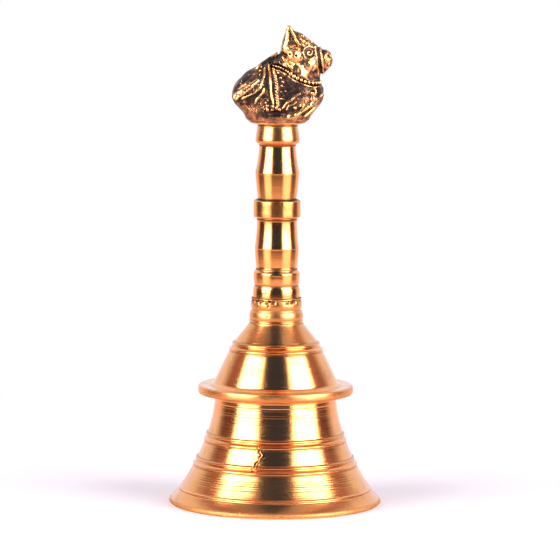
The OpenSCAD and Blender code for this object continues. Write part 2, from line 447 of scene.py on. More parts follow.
@dataclass
class BellCasting(TurnedPiece):
    """The bell itself, from the lip to the cup that the grip stands in."""

    name: str = "bell_casting"
    stands_for: str = "bell_shell"
    material_slot: str = "bell_brass"
    segments: int = 176
    wall: float = 2.8
    lip_z: float = 5.3
    waist_z: float = 37.2
    waist_r: float = 20.8
    flange_z: float = 39.5
    flange_half: float = 1.55
    shoulder_z: float = 41.4
    shoulder_r: float = 21.4
    neck_z: float = 63.0
    neck_r: float = 9.3
    seat_z: float = 70.5
    crown_z: float = 59.5
    crown_r: float = 7.6
    bore_r: float = 4.05
    lip_step: float = 3.7
    rim_r: float = 26.6
    bead_levels: Point = (13.9, 22.2, 53.4)
    bead_gap: float = 1.9
    bead_r: float = 0.5
    bead_cut: float = 0.56
    bead_reach: float = 0.72
    flaw: CastFlaw = field(default_factory=CastFlaw)
    pits: tuple[Point, ...] = (
        (-108.5, 68.8, 0.42), (-108.5, 65.2, 0.46), (-141, 68.6, 0.35), (-131, 21.9, 0.45),
        (-128, 22.3, 0.35), (-84, 57.2, 0.25), (-60, 59.5, 0.3), (35, 30.0, 0.4),
    )
    outer_rows: int = 0

    def __post_init__(self) -> None:
        """Takes the mouth's radius from the frame."""
        low, high = box_mm(self.stands_for)
        self.mouth_r = float(high[0] - low[0]) / 2
        self.lip_r = self.mouth_r - self.lip_step
        self.flange_r = self.rim_r - self.flange_half

    def flare(self, z: Array) -> Array:
        """Radius of the flaring part: a power curve from the waist out to the lip line."""
        share = np.clip((self.waist_z - z) / (self.waist_z - self.lip_z), 0, None)
        return self.waist_r + (self.lip_r - self.waist_r) * share**1.7

    def dome(self, z: Array) -> Array:
        """Radius of the shoulder: a power curve from the flange in to the neck."""
        share = np.clip((self.neck_z - z) / (self.neck_z - self.shoulder_z), 0, None)
        return self.neck_r + (self.shoulder_r - self.neck_r) * share**0.8

    def bead_pair(self, line: Outline, radius_at: Profile, z: float) -> Outline:
        """Two beads, one above the other, each between narrow cuts.

        Args:
            line: Outline to carry on.
            radius_at: Radius of the surface as a function of height.
            z: Height of the lower bead.

        Returns:
            The outline.
        """
        for height in (z, z + self.bead_gap):
            r = float(radius_at(np.array(height)))
            foot = height - self.bead_reach
            line.line(float(radius_at(np.array(foot))) - 0.02, foot)
            line.line(r - 0.10, height - self.bead_cut)
            line.bead(r - 0.02, height, self.bead_r)
            line.line(r - 0.12, height + self.bead_cut)
        top = z + self.bead_gap + self.bead_reach
        return line.line(float(radius_at(np.array(top))) - 0.02, top)

    def outline(self) -> tuple[Array, bool]:
        """The outside from the lip up, the cup and bore, then the inside back down to the lip.

        Returns:
            Radii and heights, and True for a closed loop.
        """
        r = self.mouth_r
        line = Outline(r - 2.6, 0.0).line(r - 0.55, 0.0, 0.7)
        line.bow(r, 0.62, 0.10, 4).bow(r - 0.12, 1.5, 0.05, 4)
        line.bow(self.lip_r + 0.55, self.lip_z - 0.55, -0.12, 14)
        line.bead(self.lip_r, self.lip_z, 0.36)
        line.curve(self.flare, self.lip_z + 0.5, 13.1, 44)
        self.bead_pair(line, self.flare, self.bead_levels[0])
        line.curve(self.flare, 16.6, 21.4, 26)
        self.bead_pair(line, self.flare, self.bead_levels[1])
        line.curve(self.flare, 25.0, self.waist_z - 0.1, 62)
        low_face = self.flange_z - self.flange_half
        line.bow(self.waist_r + 0.7, low_face, 0.12, 4).line(self.flange_r + 0.7, low_face, 0.8)
        flat = 0.75
        line.bow(self.rim_r - 0.03, self.flange_z - flat, 0.24, 7)
        line.bow(self.rim_r - 0.03, self.flange_z + flat, 0.03, 6)
        line.bow(self.flange_r + 0.6, self.flange_z + self.flange_half - 0.05, 0.24, 7)
        line.line(self.shoulder_r + 1.5, self.flange_z + self.flange_half - 0.15, 0.8)
        line.bow(self.shoulder_r, self.shoulder_z + 0.25, 0.15, 5)
        line.curve(self.dome, self.shoulder_z + 0.5, 52.6, 26)
        self.bead_pair(line, self.dome, self.bead_levels[2])
        line.line(13.95, 56.4).bow(9.55, 61.9, -0.08, 12)
        line.line(self.neck_r - 0.22, self.neck_z - 0.45)
        line.bead(self.neck_r - 0.25, self.neck_z, 0.32, 6)
        line.line(8.95, 63.5).bow(8.85, 66.4, 0.28, 9).line(8.4, 66.8).line(8.34, 67.15)
        line.bow(8.35, 70.4, 0.34, 10).line(8.62, 70.65).bow(8.45, 71.1, 0.08, 4)
        line.line(8.16, 71.05).line(8.1, self.seat_z).line(self.bore_r, self.seat_z, 2.0)
        self.outer_rows = len(line.points())
        line.line(self.bore_r, self.crown_z, 4.0).line(self.crown_r, self.crown_z)
        z = np.linspace(self.crown_z, self.waist_z, 16)[1:]
        over = np.minimum(self.dome(np.maximum(z, self.shoulder_z)), self.waist_r)
        line.parts.append(np.stack([np.maximum(self.crown_r, over - self.wall), z], 1))
        line.curve(lambda h: self.flare(h) - self.wall, self.waist_z - 1, self.lip_z, 26)
        line.line(r - 2.62, 0.25)
        return line.points(), True

    def angles(self) -> Array:
        """Even angles, closer together across the flaw."""
        return angle_steps(self.segments, self.flaw.angle, 0.12, 34)

    def work(self, points: Array) -> tuple[Array, Array]:
        """Lathe marks, the flaw, casting pits, knocks on the flange, a worn lip, and painted shade in the
        seam under the grip.

        Args:
            points: N by 3 points of the plain surface.

        Returns:
            How far each point moves inward, and how dark it is painted from 0 to 1, for dirt and for painted
            shade.
        """
        z = points[:, 2]
        radius = np.hypot(points[:, 0], points[:, 1])
        outer = radius > np.where(z < self.waist_z, self.flare(z) - 0.5 * self.wall, 8.2)
        inward = outer * sum(turned_lines(z, *marks) for marks in (
            (25.2, 36.8, 0.78, 0.07, 21), (6.2, 12.9, 0.7, 0.09, 22),
            (16.8, 21.2, 0.66, 0.06, 23), (42.5, 52.2, 0.8, 0.035, 24)))
        sink = self.flaw.sink(points) * (radius > self.flare(z) - 0.8) * (z < 24)
        dirt_and_shade = smooth_step(0.15, 0.55, sink)
        inward += sink
        on_flange = smooth_step(24.2, 26.0, radius) * (np.abs(z - self.flange_z) < 2)
        on_lip = (z < 1.8) * outer
        inward += 0.10 * on_flange * smooth_step(0.35, 0.8, value_noise(points, 1.6, 31))
        inward += 0.16 * on_lip * smooth_step(0.25, 0.75, value_noise(points, 1.1, 32))
        inward += 0.03 * outer * value_noise(points, 9.0, 33)
        for angle, height, size in self.pits:
            turn = math.radians(angle)
            radius_at = self.dome if height > self.shoulder_z else self.flare
            r = float(radius_at(np.array(height))) if height < self.neck_z else 8.7
            spot = np.array([r * math.cos(turn), r * math.sin(turn), height])
            pit = np.exp(-((np.linalg.norm(points - spot, axis=1) / size) ** 2))
            inward += 0.3 * pit
            dirt_and_shade = np.maximum(dirt_and_shade, pit)
        # Painted shade: the ragged seam under the grip is cut in and darkened, for the shadow in the gap.
        ragged = smooth_step(69.0, 69.5, z) * (z < 70.9) * (radius > 7.9)
        ragged = ragged * smooth_step(-0.1, 0.4, value_noise(points, 0.8, 35))
        inward += 0.3 * ragged
        dirt_and_shade = np.maximum(dirt_and_shade, 0.9 * ragged)
        # The cuts beside the beads and round the neck are darkened.
        cuts = [self.neck_z - 0.45, self.neck_z + 0.5, 67.0]
        rises = (-0.62, self.bead_gap / 2, self.bead_gap + 0.6)
        cuts += [low + rise for low in self.bead_levels for rise in rises]
        groove = np.max([hump(z, height, 0.22) for height in cuts], axis=0)
        # Painted shade: the joint under the grip is darkened.
        seam = hump(z, 70.8, 0.45) * (radius < 8.5)
        dirt_and_shade = np.maximum(dirt_and_shade, 0.45 * groove * outer)
        return inward, np.clip(np.maximum(dirt_and_shade, seam), 0, 1)

    def coarse(self, points: Array) -> Array:
        """Coarse on the lip's edge, the flange's rim, the top of the dome and the cup.

        Args:
            points: N by 3 points of the plain surface.

        Returns:
            Coarseness of each point, from 0 to 1.
        """
        z, radius = points[:, 2], np.hypot(points[:, 0], points[:, 1])
        lip = 1.0 - 0.86 * smooth_step(1.4, 2.2, z) - 0.02 * smooth_step(4.4, 5.4, z)
        lip -= 0.12 * smooth_step(10, 15, z)
        rim = 0.4 * smooth_step(26.0, 26.4, radius) * (z > 30)
        top = 0.15 * smooth_step(56.2, 57.4, z) * (1 - smooth_step(62.4, 63.2, z))
        cup = 0.45 * smooth_step(63.2, 64.0, z)
        return lip + rim + top + cup

    def dress(self, piece: Piece, faces: list[Array]) -> None:
        """Gives the second finish to every face of the inside.

        Args:
            piece: The piece.
            faces: Its faces, in the order of the outline.
        """
        columns = len(self.angles())
        row = np.repeat(np.arange(len(faces[0]) // columns), columns)
        piece.data.polygons.foreach_set("material_index", (row >= self.outer_rows - 1).astype(np.int32))


@dataclass
class GripPiece(TurnedPiece):
    """A turned piece of the grip: it swells to a sharp edge and narrows again."""

    material_slot: str = "grip_brass"
    segments: int = 128
    narrow_r: float = 6.4
    swell_r: float = 7.55
    collar_r: float = 8.05
    stud_bore_r: float = 2.55
    joint_z: float = 104.9
    # Heights and widths of painted shade lines at grooves and joints.
    marks: tuple[Pair, ...] = ()

    def vase(self, line: Outline, swell: float, high: float, high_r: float) -> Outline:
        """A vase: hollow up to a crisp edge at the swell, and hollow again above it.

        Args:
            line: Outline to carry on from the foot.
            swell: Height of the edge.
            high: Height of the top.
            high_r: Radius of the top.

        Returns:
            The outline.
        """
        line.bow(self.swell_r - 0.03, swell - 0.12, 0.10, 12)
        line.line(self.swell_r, swell).line(self.swell_r - 0.03, swell + 0.12)
        return line.bow(high_r, high, -0.16, 14)

    def work(self, points: Array) -> tuple[Array, Array]:
        """Fine lathe marks, small knocks, and painted shade along the grooves and joints.

        Args:
            points: N by 3 points of the plain surface.

        Returns:
            How far each point moves inward, and how dark it is painted from 0 to 1 as shade.
        """
        z = points[:, 2]
        radius = np.hypot(points[:, 0], points[:, 1])
        outer = radius > 5.5
        inward = 0.012 * outer * value_noise(points * np.array([0.2, 0.2, 4.0]), 1.0, 41)
        inward += 0.05 * outer * smooth_step(0.6, 0.9, value_noise(points, 1.3, 42))
        # Painted shade: dark lines at the listed heights of grooves and of joints between pieces.
        dirt_and_shade = np.max([hump(z, height, width) for height, width in self.marks], axis=0)
        return inward, np.clip(dirt_and_shade * outer, 0, 1)

    def coarse(self, points: Array) -> Array:
        """Coarser on the plain collars than on the vases.

        Args:
            points: N by 3 points of the plain surface.

        Returns:
            Coarseness of each point, from 0 to 1.
        """
        z = points[:, 2]
        middle = smooth_step(98.4, 98.8, z) * (1 - smooth_step(104.6, 105.0, z))
        return 0.18 * middle + 0.25 * smooth_step(123.6, 124.2, z)


@dataclass
class LowerGrip(GripPiece):
    """Foot band, conical ring, vase and the thick middle collar."""

    name: str = "grip_lower"
    stands_for: str = "lower_grip"
    seat_z: float = 70.5
    nipple_bore_r: float = 4.05
    nipple_hole_z: float = 89.0
    # Heights and widths of painted shade lines at grooves and joints.
    marks: tuple[Pair, ...] = ((71.0, 0.35), (75.4, 0.22), (81.0, 0.3), (98.0, 0.25), (104.7, 0.25))

    def outline(self) -> tuple[Array, bool]:
        """From the blind hole's roof down the bore, up the outside, and down the upper socket to the axis.

        Returns:
            Radii and heights, and False as both ends lie on the axis.
        """
        seat, joint = self.seat_z, self.joint_z
        line = Outline(0, self.nipple_hole_z).line(self.nipple_bore_r, self.nipple_hole_z, 4)
        line.line(self.nipple_bore_r, seat, 9).line(7.65, seat, 4)
        line.line(7.78, seat + 0.1).bow(8.02, seat + 0.7, 0.06, 4)
        line.bow(7.9, seat + 3.9, 0.05, 12).line(7.72, seat + 4.25).line(7.5, seat + 4.75)
        line.line(7.5, seat + 5.1).line(7.66, seat + 5.3)
        line.bow(self.collar_r - 0.12, seat + 8.6, 0.05, 8).bow(7.86, seat + 9.3, 0.05, 4)
        line.bow(self.narrow_r + 0.52, seat + 10.9, -0.14, 7)
        self.vase(line, 88.2, 97.4, self.narrow_r + 0.42)
        line.bead(self.narrow_r + 0.42, 98.0, 0.2, 5).line(self.narrow_r + 0.45, 98.55)
        line.line(self.collar_r - 0.42, 98.62, 0.6).bow(self.collar_r, 99.15, 0.12, 5)
        line.line(self.collar_r, joint - 0.95, 0.8).bow(self.collar_r - 0.35, joint - 0.42, 0.12, 5)
        line.bow(self.narrow_r + 0.62, joint - 0.1, -0.12, 5).line(self.narrow_r + 0.42, joint - 0.4)
        line.line(self.stud_bore_r, joint - 0.4, 3).line(self.stud_bore_r, joint - 11, 9)
        line.line(0, joint - 11, 4)
        return line.points(), False


@dataclass
class UpperGrip(GripPiece):
    """Second vase and the collar that the bull stands on."""

    name: str = "grip_upper"
    stands_for: str = "upper_grip"
    finial_z: float = 130.3
    # Heights and widths of painted shade lines at grooves and joints.
    marks: tuple[Pair, ...] = ((104.9, 0.3), (123.4, 0.3), (130.2, 0.25))

    def outline(self) -> tuple[Array, bool]:
        """From the lower hole's roof down its bore, up the outside, and down the upper hole to the axis.

        Returns:
            Radii and heights, and False as both ends lie on the axis.
        """
        foot, joint, top = self.joint_z - 0.4, self.joint_z, self.finial_z
        line = Outline(0, joint + 9).line(self.stud_bore_r, joint + 9, 4).line(self.stud_bore_r, foot, 9)
        line.line(self.narrow_r + 0.12, foot, 4).line(self.narrow_r + 0.14, joint)
        self.vase(line, 114.0, 122.6, self.narrow_r - 0.15)
        line.bow(self.narrow_r - 0.1, 123.4, -0.05, 4).line(self.narrow_r + 0.1, 123.75)
        line.bow(self.swell_r, 125.3, 0.30, 10).bow(self.swell_r - 0.75, top - 0.25, 0.05, 10)
        line.bow(self.swell_r - 0.9, top, 0.04, 3).line(self.stud_bore_r, top, 3)
        line.line(self.stud_bore_r, top - 9, 9).line(0, top - 9, 4)
        return line.points(), False


# -------------------- The bull, modelled as a solid of signed distances --------------------


@dataclass
class Egg:
    """An ellipsoid, tilted nose up by pitch degrees."""

    centre: Point
    radii: Point
    pitch: float = 0.0

    def reach(self) -> tuple[Array, Array]:
        """Corners of a box that holds the shape.

        Returns:
            The lowest and the highest corner.
        """
        size = max(self.radii[0], self.radii[2]) if self.pitch else 0.0
        half = np.maximum(np.array(self.radii), [size, 0, size])
        return np.array(self.centre) - half, np.array(self.centre) + half

    def distance(self, x: Array, y: Array, z: Array) -> Array:
        """Signed distance: the scaled length k0 times k0 minus 1, over the length of its gradient.

        Args:
            x: Places along the bull.
            y: Places across it.
            z: Heights.

        Returns:
            Distances in millimetres, negative inside.
        """
        turn = math.radians(self.pitch)
        dx, dy, dz = x - self.centre[0], y - self.centre[1], z - self.centre[2]
        along = dx * math.cos(turn) + dz * math.sin(turn)
        above = dz * math.cos(turn) - dx * math.sin(turn)
        a, b, c = self.radii
        k0 = np.sqrt((along / a) ** 2 + (dy / b) ** 2 + (above / c) ** 2)
        k1 = np.sqrt((along / a**2) ** 2 + (dy / b**2) ** 2 + (above / c**2) ** 2)
        return np.where(k1 > 1e-6, k0 * (k0 - 1) / np.maximum(k1, 1e-6), -min(self.radii))


@dataclass
class Bone:
    """A round bar between two points, with its own radius at each end."""

    start: Point
    end: Point
    start_r: float
    end_r: float

    def reach(self) -> tuple[Array, Array]:
        """Corners of a box that holds the shape.

        Returns:
            The lowest and the highest corner.
        """
        ends = np.array([self.start, self.end])
        size = max(self.start_r, self.end_r)
        return ends.min(0) - size, ends.max(0) + size

    def distance(self, x: Array, y: Array, z: Array) -> Array:
        """Distance to the nearest point of the middle line, less the radius there.

        Args:
            x: Places along the bull.
            y: Places across it.
            z: Heights.

        Returns:
            Distances in millimetres, negative inside.
        """
        a, way = np.array(self.start), np.array(self.end) - np.array(self.start)
        dx, dy, dz = x - a[0], y - a[1], z - a[2]
        share = np.clip((dx * way[0] + dy * way[1] + dz * way[2]) / max(float(way @ way), 1e-9), 0, 1)
        gap = np.sqrt((dx - share * way[0]) ** 2 + (dy - share * way[1]) ** 2 + (dz - share * way[2]) ** 2)
        return gap - (self.start_r + share * (self.end_r - self.start_r))


@dataclass
class Leaf:
    """A thin plate with a convex outline in the XZ plane, rounded, leaning inward with height."""

    corners: tuple[Pair, ...]
    y: float
    half_thick: float
    lean: float = 0.0
    soft: float = 0.5

    def reach(self) -> tuple[Array, Array]:
        """Corners of a box that holds the shape.

        Returns:
            The lowest and the highest corner.
        """
        c = np.array(self.corners)
        tall = c[:, 1].max() - c[:, 1].min()
        half = self.half_thick + abs(self.lean) * tall
        return (np.array([c[:, 0].min(), self.y - half, c[:, 1].min()]) - self.soft,
                np.array([c[:, 0].max(), self.y + half, c[:, 1].max()]) + self.soft)

    def distance(self, x: Array, y: Array, z: Array) -> Array:
        """The largest of the signed distances to the outline's sides and to the two flat faces, rounded.

        Args:
            x: Places along the bull.
            y: Places across it.
            z: Heights.

        Returns:
            Distances in millimetres, negative inside.
        """
        c = np.array(self.corners)
        sides = np.roll(c, -1, axis=0) - c
        normals = np.stack([sides[:, 1], -sides[:, 0]], 1) / np.hypot(*sides.T)[:, None]
        flat = np.max([n[0] * (x - p[0]) + n[1] * (z - p[1]) for n, p in zip(normals, c)], axis=0)
        off = np.abs(y - self.y + self.lean * (z - c[:, 1].min())) - self.half_thick
        flat, off = np.broadcast_arrays(flat + self.soft, off + self.soft)
        outside = np.hypot(np.maximum(flat, 0), np.maximum(off, 0))
        return outside + np.minimum(np.maximum(flat, off), 0) - self.soft


@dataclass
class Hull:
    """The boat-shaped base: an oval bowl whose half length and half width grow with height."""

    height: float = 9.2
    half_length: tuple[float, ...] = (7.0, 9.0, 10.7, 11.2, 12.4, 14.0, 15.3)
    half_width: tuple[float, ...] = (7.0, 7.9, 8.6, 8.8, 8.9, 8.9, 8.6)
    levels: tuple[float, ...] = (0.0, 0.7, 1.7, 3.0, 5.0, 7.2, 9.4)

    def reach(self) -> tuple[Array, Array]:
        """Corners of a box that holds the shape."""
        return np.array([-16.0, -9.5, 0.0]), np.array([16.0, 9.5, self.height + 1])

    def distance(self, x: Array, y: Array, z: Array) -> Array:
        """How far a point lies outside the oval of its own height, and above or below the bowl.

        Args:
            x: Places along the bull.
            y: Places across it.
            z: Heights.

        Returns:
            Distances in millimetres, negative inside.
        """
        a = np.interp(z, self.levels, self.half_length)
        b = np.interp(z, self.levels, self.half_width)
        size = ((np.abs(x) / a) ** 2.3 + (np.abs(y) / b) ** 2.3) ** (1 / 2.3)
        side = (size - 1) * np.minimum(a, b) * 0.85
        return np.maximum(side, np.maximum(-z, z - self.height))


Shape = Egg | Bone | Leaf | Hull


@dataclass
class Clay:
    """The half of the figure with y at or above zero, as signed distances on a grid, in millimetres."""

    step: float
    low: Point = (-17.6, 0.0, -0.4)
    high: Point = (20.0, 10.4, 35.6)
    empty: float = 6.0
    spare: float = 1.5

    def __post_init__(self) -> None:
        """Lays out the grid, empty of clay."""
        counts = [int(round((b - a) / self.step)) + 1 for a, b in zip(self.low, self.high)]
        self.axes = [a + self.step * np.arange(n) for a, n in zip(self.low, counts)]
        self.solid = np.full(counts, self.empty, np.float32)

    def window(self, low: Array, high: Array, margin: float) -> tuple[tuple[slice, ...], list[Array]]:
        """The part of the grid round a box.

        Args:
            low: The box's lowest corner.
            high: The box's highest corner.
            margin: Room kept round it.

        Returns:
            The slices of the grid, and the coordinates shaped to spread over it.
        """
        cuts = []
        for axis, a, b in zip(self.axes, low - margin, high + margin):
            first = max(0, int(np.searchsorted(axis, a)))
            cuts.append(slice(first, max(first + 1, int(np.searchsorted(axis, b)))))
        return tuple(cuts), spread([axis[cut] for axis, cut in zip(self.axes, cuts)])

    def add(self, shape: Shape, blend: float = 0.5) -> None:
        """Joins a shape to the clay, with a fillet.

        Args:
            shape: The shape to add.
            blend: Size of the fillet.
        """
        cuts, (x, y, z) = self.window(*shape.reach(), blend + self.spare)
        old, new = self.solid[cuts], shape.distance(x, y, z)
        mix = np.clip(0.5 + 0.5 * (old - new) / blend, 0, 1)
        self.solid[cuts] = old + (new - old) * mix - blend * mix * (1 - mix)

    def cut(self, shape: Shape, blend: float = 0.2) -> None:
        """Takes a shape out of the clay, with a soft edge.

        Args:
            shape: The shape to remove.
            blend: Size of the soft edge.
        """
        cuts, (x, y, z) = self.window(*shape.reach(), blend + self.spare)
        old, new = self.solid[cuts], -shape.distance(x, y, z)
        mix = np.clip(0.5 + 0.5 * (new - old) / blend, 0, 1)
        self.solid[cuts] = old + (new - old) * mix + blend * mix * (1 - mix)

    def swell(self, low: Point, high: Point, amount: Rise) -> None:
        """Raises or sinks the skin inside a box.

        Args:
            low: The box's lowest corner.
            high: The box's highest corner.
            amount: Function of x, y and z that says how far the skin rises.
        """
        cuts, (x, y, z) = self.window(np.array(low), np.array(high), 0.0)
        self.solid[cuts] -= amount(x, y, z).astype(np.float32)

    def side(self, x: Array, z: Array) -> Array:
        """How far the skin lies from the middle plane, seen from the side.

        Args:
            x: Places along the bull.
            z: Heights.

        Returns:
            The outermost y of the clay at each place, or 0 where there is none.
        """
        i = np.clip(np.round((x - self.low[0]) / self.step).astype(int), 0, self.solid.shape[0] - 1)
        k = np.clip(np.round((z - self.low[2]) / self.step).astype(int), 0, self.solid.shape[2] - 1)
        column = self.solid[i, :, k]
        inside = column < 0
        last = np.where(inside.any(1), column.shape[1] - 1 - np.argmax(inside[:, ::-1], 1), 0)
        after = np.minimum(last + 1, column.shape[1] - 1)
        rows = np.arange(len(column))
        a, b = column[rows, last], column[rows, after]
        share = np.where(b > a, np.clip(-a / np.maximum(b - a, 1e-6), 0, 1), 0)
        return self.axes[1][last] + self.step * share

    def out(self, x: float, z: float) -> float:
        """How far out the skin lies at one place of the side."""
        return float(self.side(np.array([x]), np.array([z]))[0])

    def knobs(self, spots: tuple[Point, ...], shape: Point = (1, 1, 1), sink: float = 0.0,
              pitch: float = 0.0, blend: float = 0.1) -> None:
        """Sets small eggs on the skin.

        Args:
            spots: Place along the bull, height and size of each egg.
            shape: Its radii, in sizes.
            sink: How far its middle lies under the skin.
            pitch: How far it is tilted nose up, in degrees.
            blend: Size of the fillet round it.
        """
        for x, z, size in spots:
            radii = tuple(size * share for share in shape)
            self.add(Egg((x, self.out(x, z) - sink, z), radii, pitch), blend)

    def drape(self, stops: list[Pair], spacing: float) -> Array:
        """Lays a cord on the bull's side.

        The stops are joined by a smooth curve in the side view, which is dropped on the skin and cut evenly.

        Args:
            stops: Places along the bull and heights.
            spacing: Distance between two points of the result.

        Returns:
            N by 3 points on the skin.
        """
        flat = np.array(stops, float)
        reach = np.concatenate([[0], np.cumsum(np.hypot(*np.diff(flat, axis=0).T))])
        at = np.linspace(0, reach[-1], max(8, int(reach[-1] / 0.1)))
        x, z = np.interp(at, reach, flat[:, 0]), np.interp(at, reach, flat[:, 1])
        kernel = np.ones(9) / 9
        for line in (x, z):
            line[:] = np.convolve(np.pad(line, 4, mode="reflect", reflect_type="odd"), kernel, "valid")
        y = self.side(x, z)
        y = np.convolve(np.pad(y, 3, mode="edge"), np.ones(7) / 7, "valid")
        path = np.stack([x, y, z], 1)
        run = np.concatenate([[0], np.cumsum(np.linalg.norm(np.diff(path, axis=0), axis=1))])
        even = np.arange(0, run[-1] + 1e-9, spacing)
        return np.stack([np.interp(even, run, path[:, i]) for i in range(3)], 1)

    def cord(self, stops: list[Pair], radius: float, lift: float = 0.0, blend: float = 0.15) -> None:
        """Lays a plain round cord on the skin.

        Args:
            stops: Places along the bull and heights.
            radius: The cord's radius.
            lift: How far its middle stands off the skin.
            blend: Size of the fillet under it.
        """
        path = self.drape(stops, 0.6)
        path[:, 1] += lift
        for a, b in zip(path[:-1], path[1:]):
            self.add(Bone(tuple(a), tuple(b), radius, radius), blend)

    def rope(self, stops: list[Pair], radius: float, pitch: float = 1.3) -> None:
        """Lays a two-strand rope on the skin.

        Each strand is a row of small eggs on a helix about the rope's middle line.

        Args:
            stops: Places along the bull and heights.
            radius: The whole rope's radius.
            pitch: Length of one turn of a strand.
        """
        step = 0.32
        path = self.drape(stops, step)
        way = np.gradient(path, axis=0)
        way /= np.maximum(np.linalg.norm(way, axis=1, keepdims=True), 1e-9)
        out = np.array([0.0, 1.0, 0.0]) - way * way[:, 1:2]
        out /= np.maximum(np.linalg.norm(out, axis=1, keepdims=True), 1e-9)
        across = np.cross(way, out)
        turn = 2 * math.pi * step * np.arange(len(path))[:, None] / pitch
        offset, strand_r = 0.55 * radius, 0.52 * radius
        for phase in (0.0, math.pi):
            strand = path + offset * (np.cos(turn + phase) * out + np.sin(turn + phase) * across)
            for place in strand:
                self.add(Egg(tuple(place), (strand_r,) * 3), 0.08)

    def whole(self) -> tuple[Array, Array]:
        """The full figure's distances, mirrored in the middle plane, and its lowest corner."""
        full = np.concatenate([self.solid[:, :0:-1, :], self.solid], axis=1)
        return full, np.array([self.low[0], -self.axes[1][-1], self.low[2]])


def skin(solid: Array, low: Array, step: float) -> tuple[Array, Array]:
    """The surface where the distances are zero.

    Every cell that the surface passes through gets one point, at the mean of the crossings on its edges.
    Every grid edge that the surface crosses gets one four-sided face, between its four cells.

    Args:
        solid: Signed distances on a grid.
        low: The grid's lowest corner.
        step: The grid's step.

    Returns:
        Points and four-sided faces that point outwards.
    """
    inside = solid < 0
    corners = list(np.ndindex(2, 2, 2))
    shape = tuple(n - 1 for n in solid.shape)
    count = sum(inside[tuple(slice(o, o + n) for o, n in zip(c, shape))].astype(np.int8) for c in corners)
    cells = np.argwhere((count > 0) & (count < 8))
    number = np.full(shape, -1, np.int64)
    number[tuple(cells.T)] = np.arange(len(cells))
    value = {c: solid[tuple((cells + c).T)] for c in corners}
    total, crossings = np.zeros((len(cells), 3)), np.zeros(len(cells))
    for a in corners:
        for axis in range(3):
            if a[axis]:
                continue
            b = tuple(o + (i == axis) for i, o in enumerate(a))
            crossed = (value[a] < 0) != (value[b] < 0)
            gap = np.where(crossed, value[a] - value[b], 1.0)
            place = np.array(a) + np.outer(np.where(crossed, value[a] / gap, 0), np.eye(3)[axis])
            total += place * crossed[:, None]
            crossings += crossed
    points = low + step * (cells + total / crossings[:, None])
    quads = []
    for axis in range(3):
        u, v = (axis + 1) % 3, (axis + 2) % 3
        near = [slice(1, -1)] * 3
        far = [slice(1, -1)] * 3
        near[axis], far[axis] = slice(0, -1), slice(1, None)
        first, second = inside[tuple(near)], inside[tuple(far)]
        edges = np.argwhere(first != second) + [0 if i == axis else 1 for i in range(3)]
        outward = first[first != second]
        eu, ev = np.eye(3, dtype=int)[u], np.eye(3, dtype=int)[v]
        ring = np.stack([number[tuple((edges - s).T)] for s in (eu + ev, ev, 0 * eu, eu)], 1)
        quads.append(np.where(outward[:, None], ring, ring[:, ::-1]))
    return points, np.concatenate(quads)


def box_mean(values: Array, reach: int) -> Array:
    """The mean over a cube of cells round each cell, by running sums along each axis.

    Args:
        values: Values on a grid.
        reach: Number of cells on each side.

    Returns:
        The means, on the same grid.
    """
    for axis in range(3):
        pad = [(reach + 1, reach) if i == axis else (0, 0) for i in range(3)]
        run = np.cumsum(np.pad(values, pad, mode="edge"), axis=axis, dtype=np.float64)
        high = np.take(run, range(2 * reach + 1, run.shape[axis]), axis=axis)
        low = np.take(run, range(0, run.shape[axis] - 2 * reach - 1), axis=axis)
        values = (high - low) / (2 * reach + 1)
    return values


@dataclass(frozen=True)
class RubAndShade:
    """A place on the bull's side that hands have rubbed bright, or, with a negative strength, a place
    painted darker: an oval that fades outward.
    """

    x: float
    z: float
    along: float
    up: float
    strength: float = 1.0

    def share(self, points: Array) -> Array:
        """How bright each point is rubbed, or how much darker it is painted where the strength is negative.
        """
        away = ((points[:, 0] - self.x) / self.along) ** 2 + ((points[:, 2] - self.z) / self.up) ** 2
        return self.strength * np.exp(-(away**1.5))


